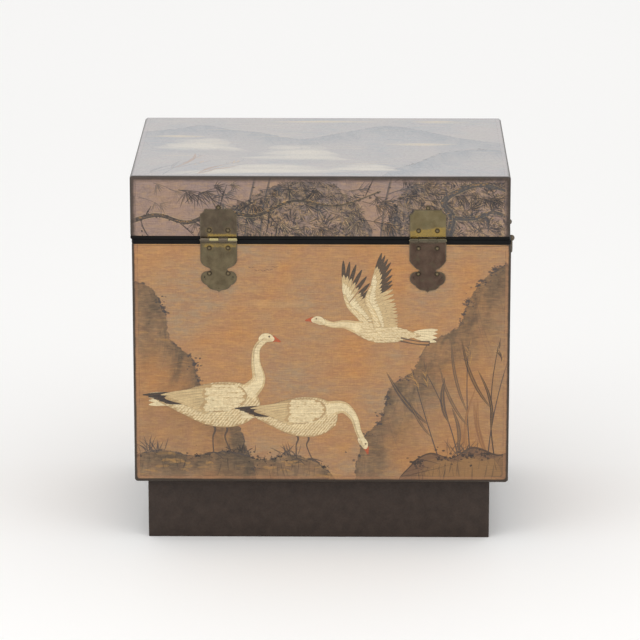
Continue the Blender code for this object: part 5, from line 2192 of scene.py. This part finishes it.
nail = turn_profile("nail", nail_profile(), (0, -1, 0), 24, nail_brass)
dice = random.Random(5)
count = 0
for side in ("left", "right"):
    for body, names in NAIL_NAMES.items():
        for name in names:
            node = "hinge_%s_nail_%s" % (side, name)
            centre = box_centre(node)
            turn = (dice.uniform(-0.03, 0.03), dice.uniform(0, TAU), dice.uniform(-0.03, 0.03))
            piece = copy_piece(nail, "hinge_%s_domed_nail_%s" % (side, name),
                               (centre.x, body_low.y + NAIL_LIFT, centre.z), turn)
            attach(piece, body)
            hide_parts(node)
            count += 1
bpy.data.objects.remove(nail, do_unlink=True)
print("nails:", count)

# %% Pins
for side in ("left", "right"):
    node = "hinge_%s_pin" % side
    low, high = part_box(node)
    half = (high.x - low.x) / 2
    radius = (high.z - low.z) / 2
    crown = radius * 0.6
    profile = [(0.0, -half), (radius * 0.7, -half), (radius, crown - half)]
    profile += [(radius, half - crown), (radius * 0.7, half), (0.0, half)]
    pin = turn_profile("hinge_%s_brass_pin" % side, profile, (1, 0, 0), 24, pin_brass)
    pin.location = (low + high) / 2
    settle(pin)
    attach(pin, "chest")
    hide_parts(node)
print("pins: 2")

# %% [markdown]
# ## The bail handles
# Each side has a handle: a bent bar that hangs in two posts. A post is turned, with a collar
# and a bored ball, and stands on a rosette. The bar is a curve with a round section whose
# thickness changes along it: thick where the hand holds it, thin where it turns in the balls.

# %% Posts and rosettes
POST_BALL = 0.0052
POST_COLLAR = 0.0036
POST_SHANK = 0.002
POST_STANDOFF = 0.0072
POST_CLEARANCE = 0.0005
BALL_BORE = 0.0023
ROSETTE_RADIUS = 0.011
ROSETTE_TOP = LEAF_GAP + 0.0012
POST_SEAT = ROSETTE_TOP + LEAF_GAP


def post_profile(shank_end):
    profile = [(0.0, -shank_end), (POST_SHANK, -shank_end), (POST_SHANK, POST_SEAT)]
    profile += [(POST_COLLAR + 0.0006, POST_SEAT), (POST_COLLAR + 0.0008, POST_SEAT + 0.0005)]
    foot = math.asin(POST_COLLAR / POST_BALL)
    for angle in np.linspace(foot, math.pi, 14):
        profile.append((POST_BALL * math.sin(angle), POST_STANDOFF - POST_BALL * math.cos(angle)))
    profile[-1] = (0.0, POST_STANDOFF + POST_BALL)
    return profile


def rosette_profile():
    outer, top = ROSETTE_RADIUS, ROSETTE_TOP
    return [
        (POST_SHANK + LEAF_GAP, LEAF_GAP), (outer * 0.97, LEAF_GAP), (outer, LEAF_GAP + 0.0002),
        (outer, LEAF_GAP + 0.0005), (outer * 0.95, LEAF_GAP + 0.0008),
        (outer * 0.84, LEAF_GAP + 0.00075),
        (outer * 0.80, LEAF_GAP + 0.00045), (outer * 0.72, LEAF_GAP + 0.0005),
        (outer * 0.58, top - 0.0001),
        (outer * 0.42, top), (POST_SHANK + LEAF_GAP, top), (POST_SHANK + LEAF_GAP, LEAF_GAP),
    ]


def bore_ball(post, place):
    clear_selection()
    bpy.ops.mesh.primitive_cylinder_add(
        vertices=32, radius=BALL_BORE, depth=0.03, location=place, rotation=(math.pi / 2, 0.0, 0.0),
    )
    drill = bpy.context.object
    settle(drill)
    cut_away(post, drill)


for side, direction in (("left", -1), ("right", 1)):
    face_x = direction * body_high.x
    for end in ("front", "back"):
        post_node = "handle_%s_post_%s" % (side, end)
        low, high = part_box(post_node)
        centre = (low + high) / 2
        shank_end = abs(face_x) - min(abs(low.x), abs(high.x))
        post = turn_profile("handle_%s_turned_post_%s" % (side, end), post_profile(shank_end),
                            (direction, 0, 0), 32, handle_brass)
        rosette = turn_profile("handle_%s_round_rosette_%s" % (side, end), rosette_profile(),
                               (direction, 0, 0), 48, handle_brass)
        for piece, node in ((post, post_node), (rosette, "handle_%s_rosette_%s" % (side, end))):
            piece.location = (face_x, centre.y, centre.z)
            settle(piece)
            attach(piece, "chest")
            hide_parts(node)
        bore_ball(post, (face_x + direction * POST_STANDOFF, centre.y, centre.z))
        smooth_by_angle(post, 32)
print("posts and rosettes: 4 and 4")


# %% Bails
BAIL_SHOULDER, BAIL_CORNER, BAIL_DROP = 0.005, 0.010, 0.0275
BAIL_GRIP, BAIL_ARM, BAIL_END, BAIL_STOP = 0.0030, 0.0025, 0.0020, 0.0032


def bail_half(post_offset):
    """Half of a bail, from the middle of its grip to its end: (along, height, radius)."""
    arm = post_offset - POST_BALL - POST_CLEARANCE - BAIL_SHOULDER
    path = [(0.0, -BAIL_DROP, BAIL_GRIP), (arm * 0.3, -BAIL_DROP, BAIL_GRIP),
            (arm * 0.55, -BAIL_DROP, 0.0028)]
    for angle in np.linspace(0.0, math.pi / 2, 9):
        along = arm - BAIL_CORNER + BAIL_CORNER * math.sin(angle)
        path.append((along, BAIL_CORNER * (1 - math.cos(angle)) - BAIL_DROP, BAIL_ARM))
    path.append((arm, -BAIL_SHOULDER - 0.004, 0.0024))
    for angle in np.linspace(0.0, math.pi / 2, 7):
        along = arm + BAIL_SHOULDER * (1 - math.cos(angle))
        path.append((along, -BAIL_SHOULDER * (1 - math.sin(angle)), BAIL_END))
    end = post_offset + POST_BALL + POST_CLEARANCE
    path.append((end, 0.0, BAIL_END))
    for angle in np.linspace(0.25, 0.92, 7) * math.pi:
        path.append((end + BAIL_STOP * 0.72 * (1 - math.cos(angle)), 0.0, BAIL_STOP * math.sin(angle)))
    return path


def make_bail(side):
    node = "handle_%s_bail" % side
    low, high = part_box(node)
    posts = [box_centre("handle_%s_post_%s" % (side, end)) for end in ("front", "back")]
    middle = (posts[0] + posts[1]) / 2
    half = bail_half((posts[1].y - posts[0].y) / 2)
    path = [(-along, height, radius) for along, height, radius in half[::-1]] + half[1:]
    curve = bpy.data.curves.new("handle_%s_brass_bail" % side, "CURVE")
    curve.dimensions = "3D"
    curve.bevel_depth = 0.001
    curve.bevel_resolution = 6
    curve.use_fill_caps = True
    spline = curve.splines.new("POLY")
    spline.points.add(len(path) - 1)
    for point, (along, height, radius) in zip(spline.points, path):
        point.co = (0.0, along, height, 1.0)
        point.radius = radius / curve.bevel_depth
    bail = bpy.data.objects.new("handle_%s_brass_bail" % side, curve)
    bring_in(bail)
    bail.location = ((low.x + high.x) / 2, middle.y, middle.z)
    take(bail)
    bpy.ops.object.convert(target="MESH")
    bail = bpy.context.object
    settle(bail)
    edit(bail, "VERT")
    weld()
    bail.data.materials.append(handle_brass)
    smooth_by_angle(bail, 40)
    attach(bail, "bail_" + side)
    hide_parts(node)
    return bail


for side in ("left", "right"):
    bail = make_bail(side)
    low = min(vert.co.z for vert in bail.data.vertices)
    print(bail.name, "lowest point", round(low, 4))
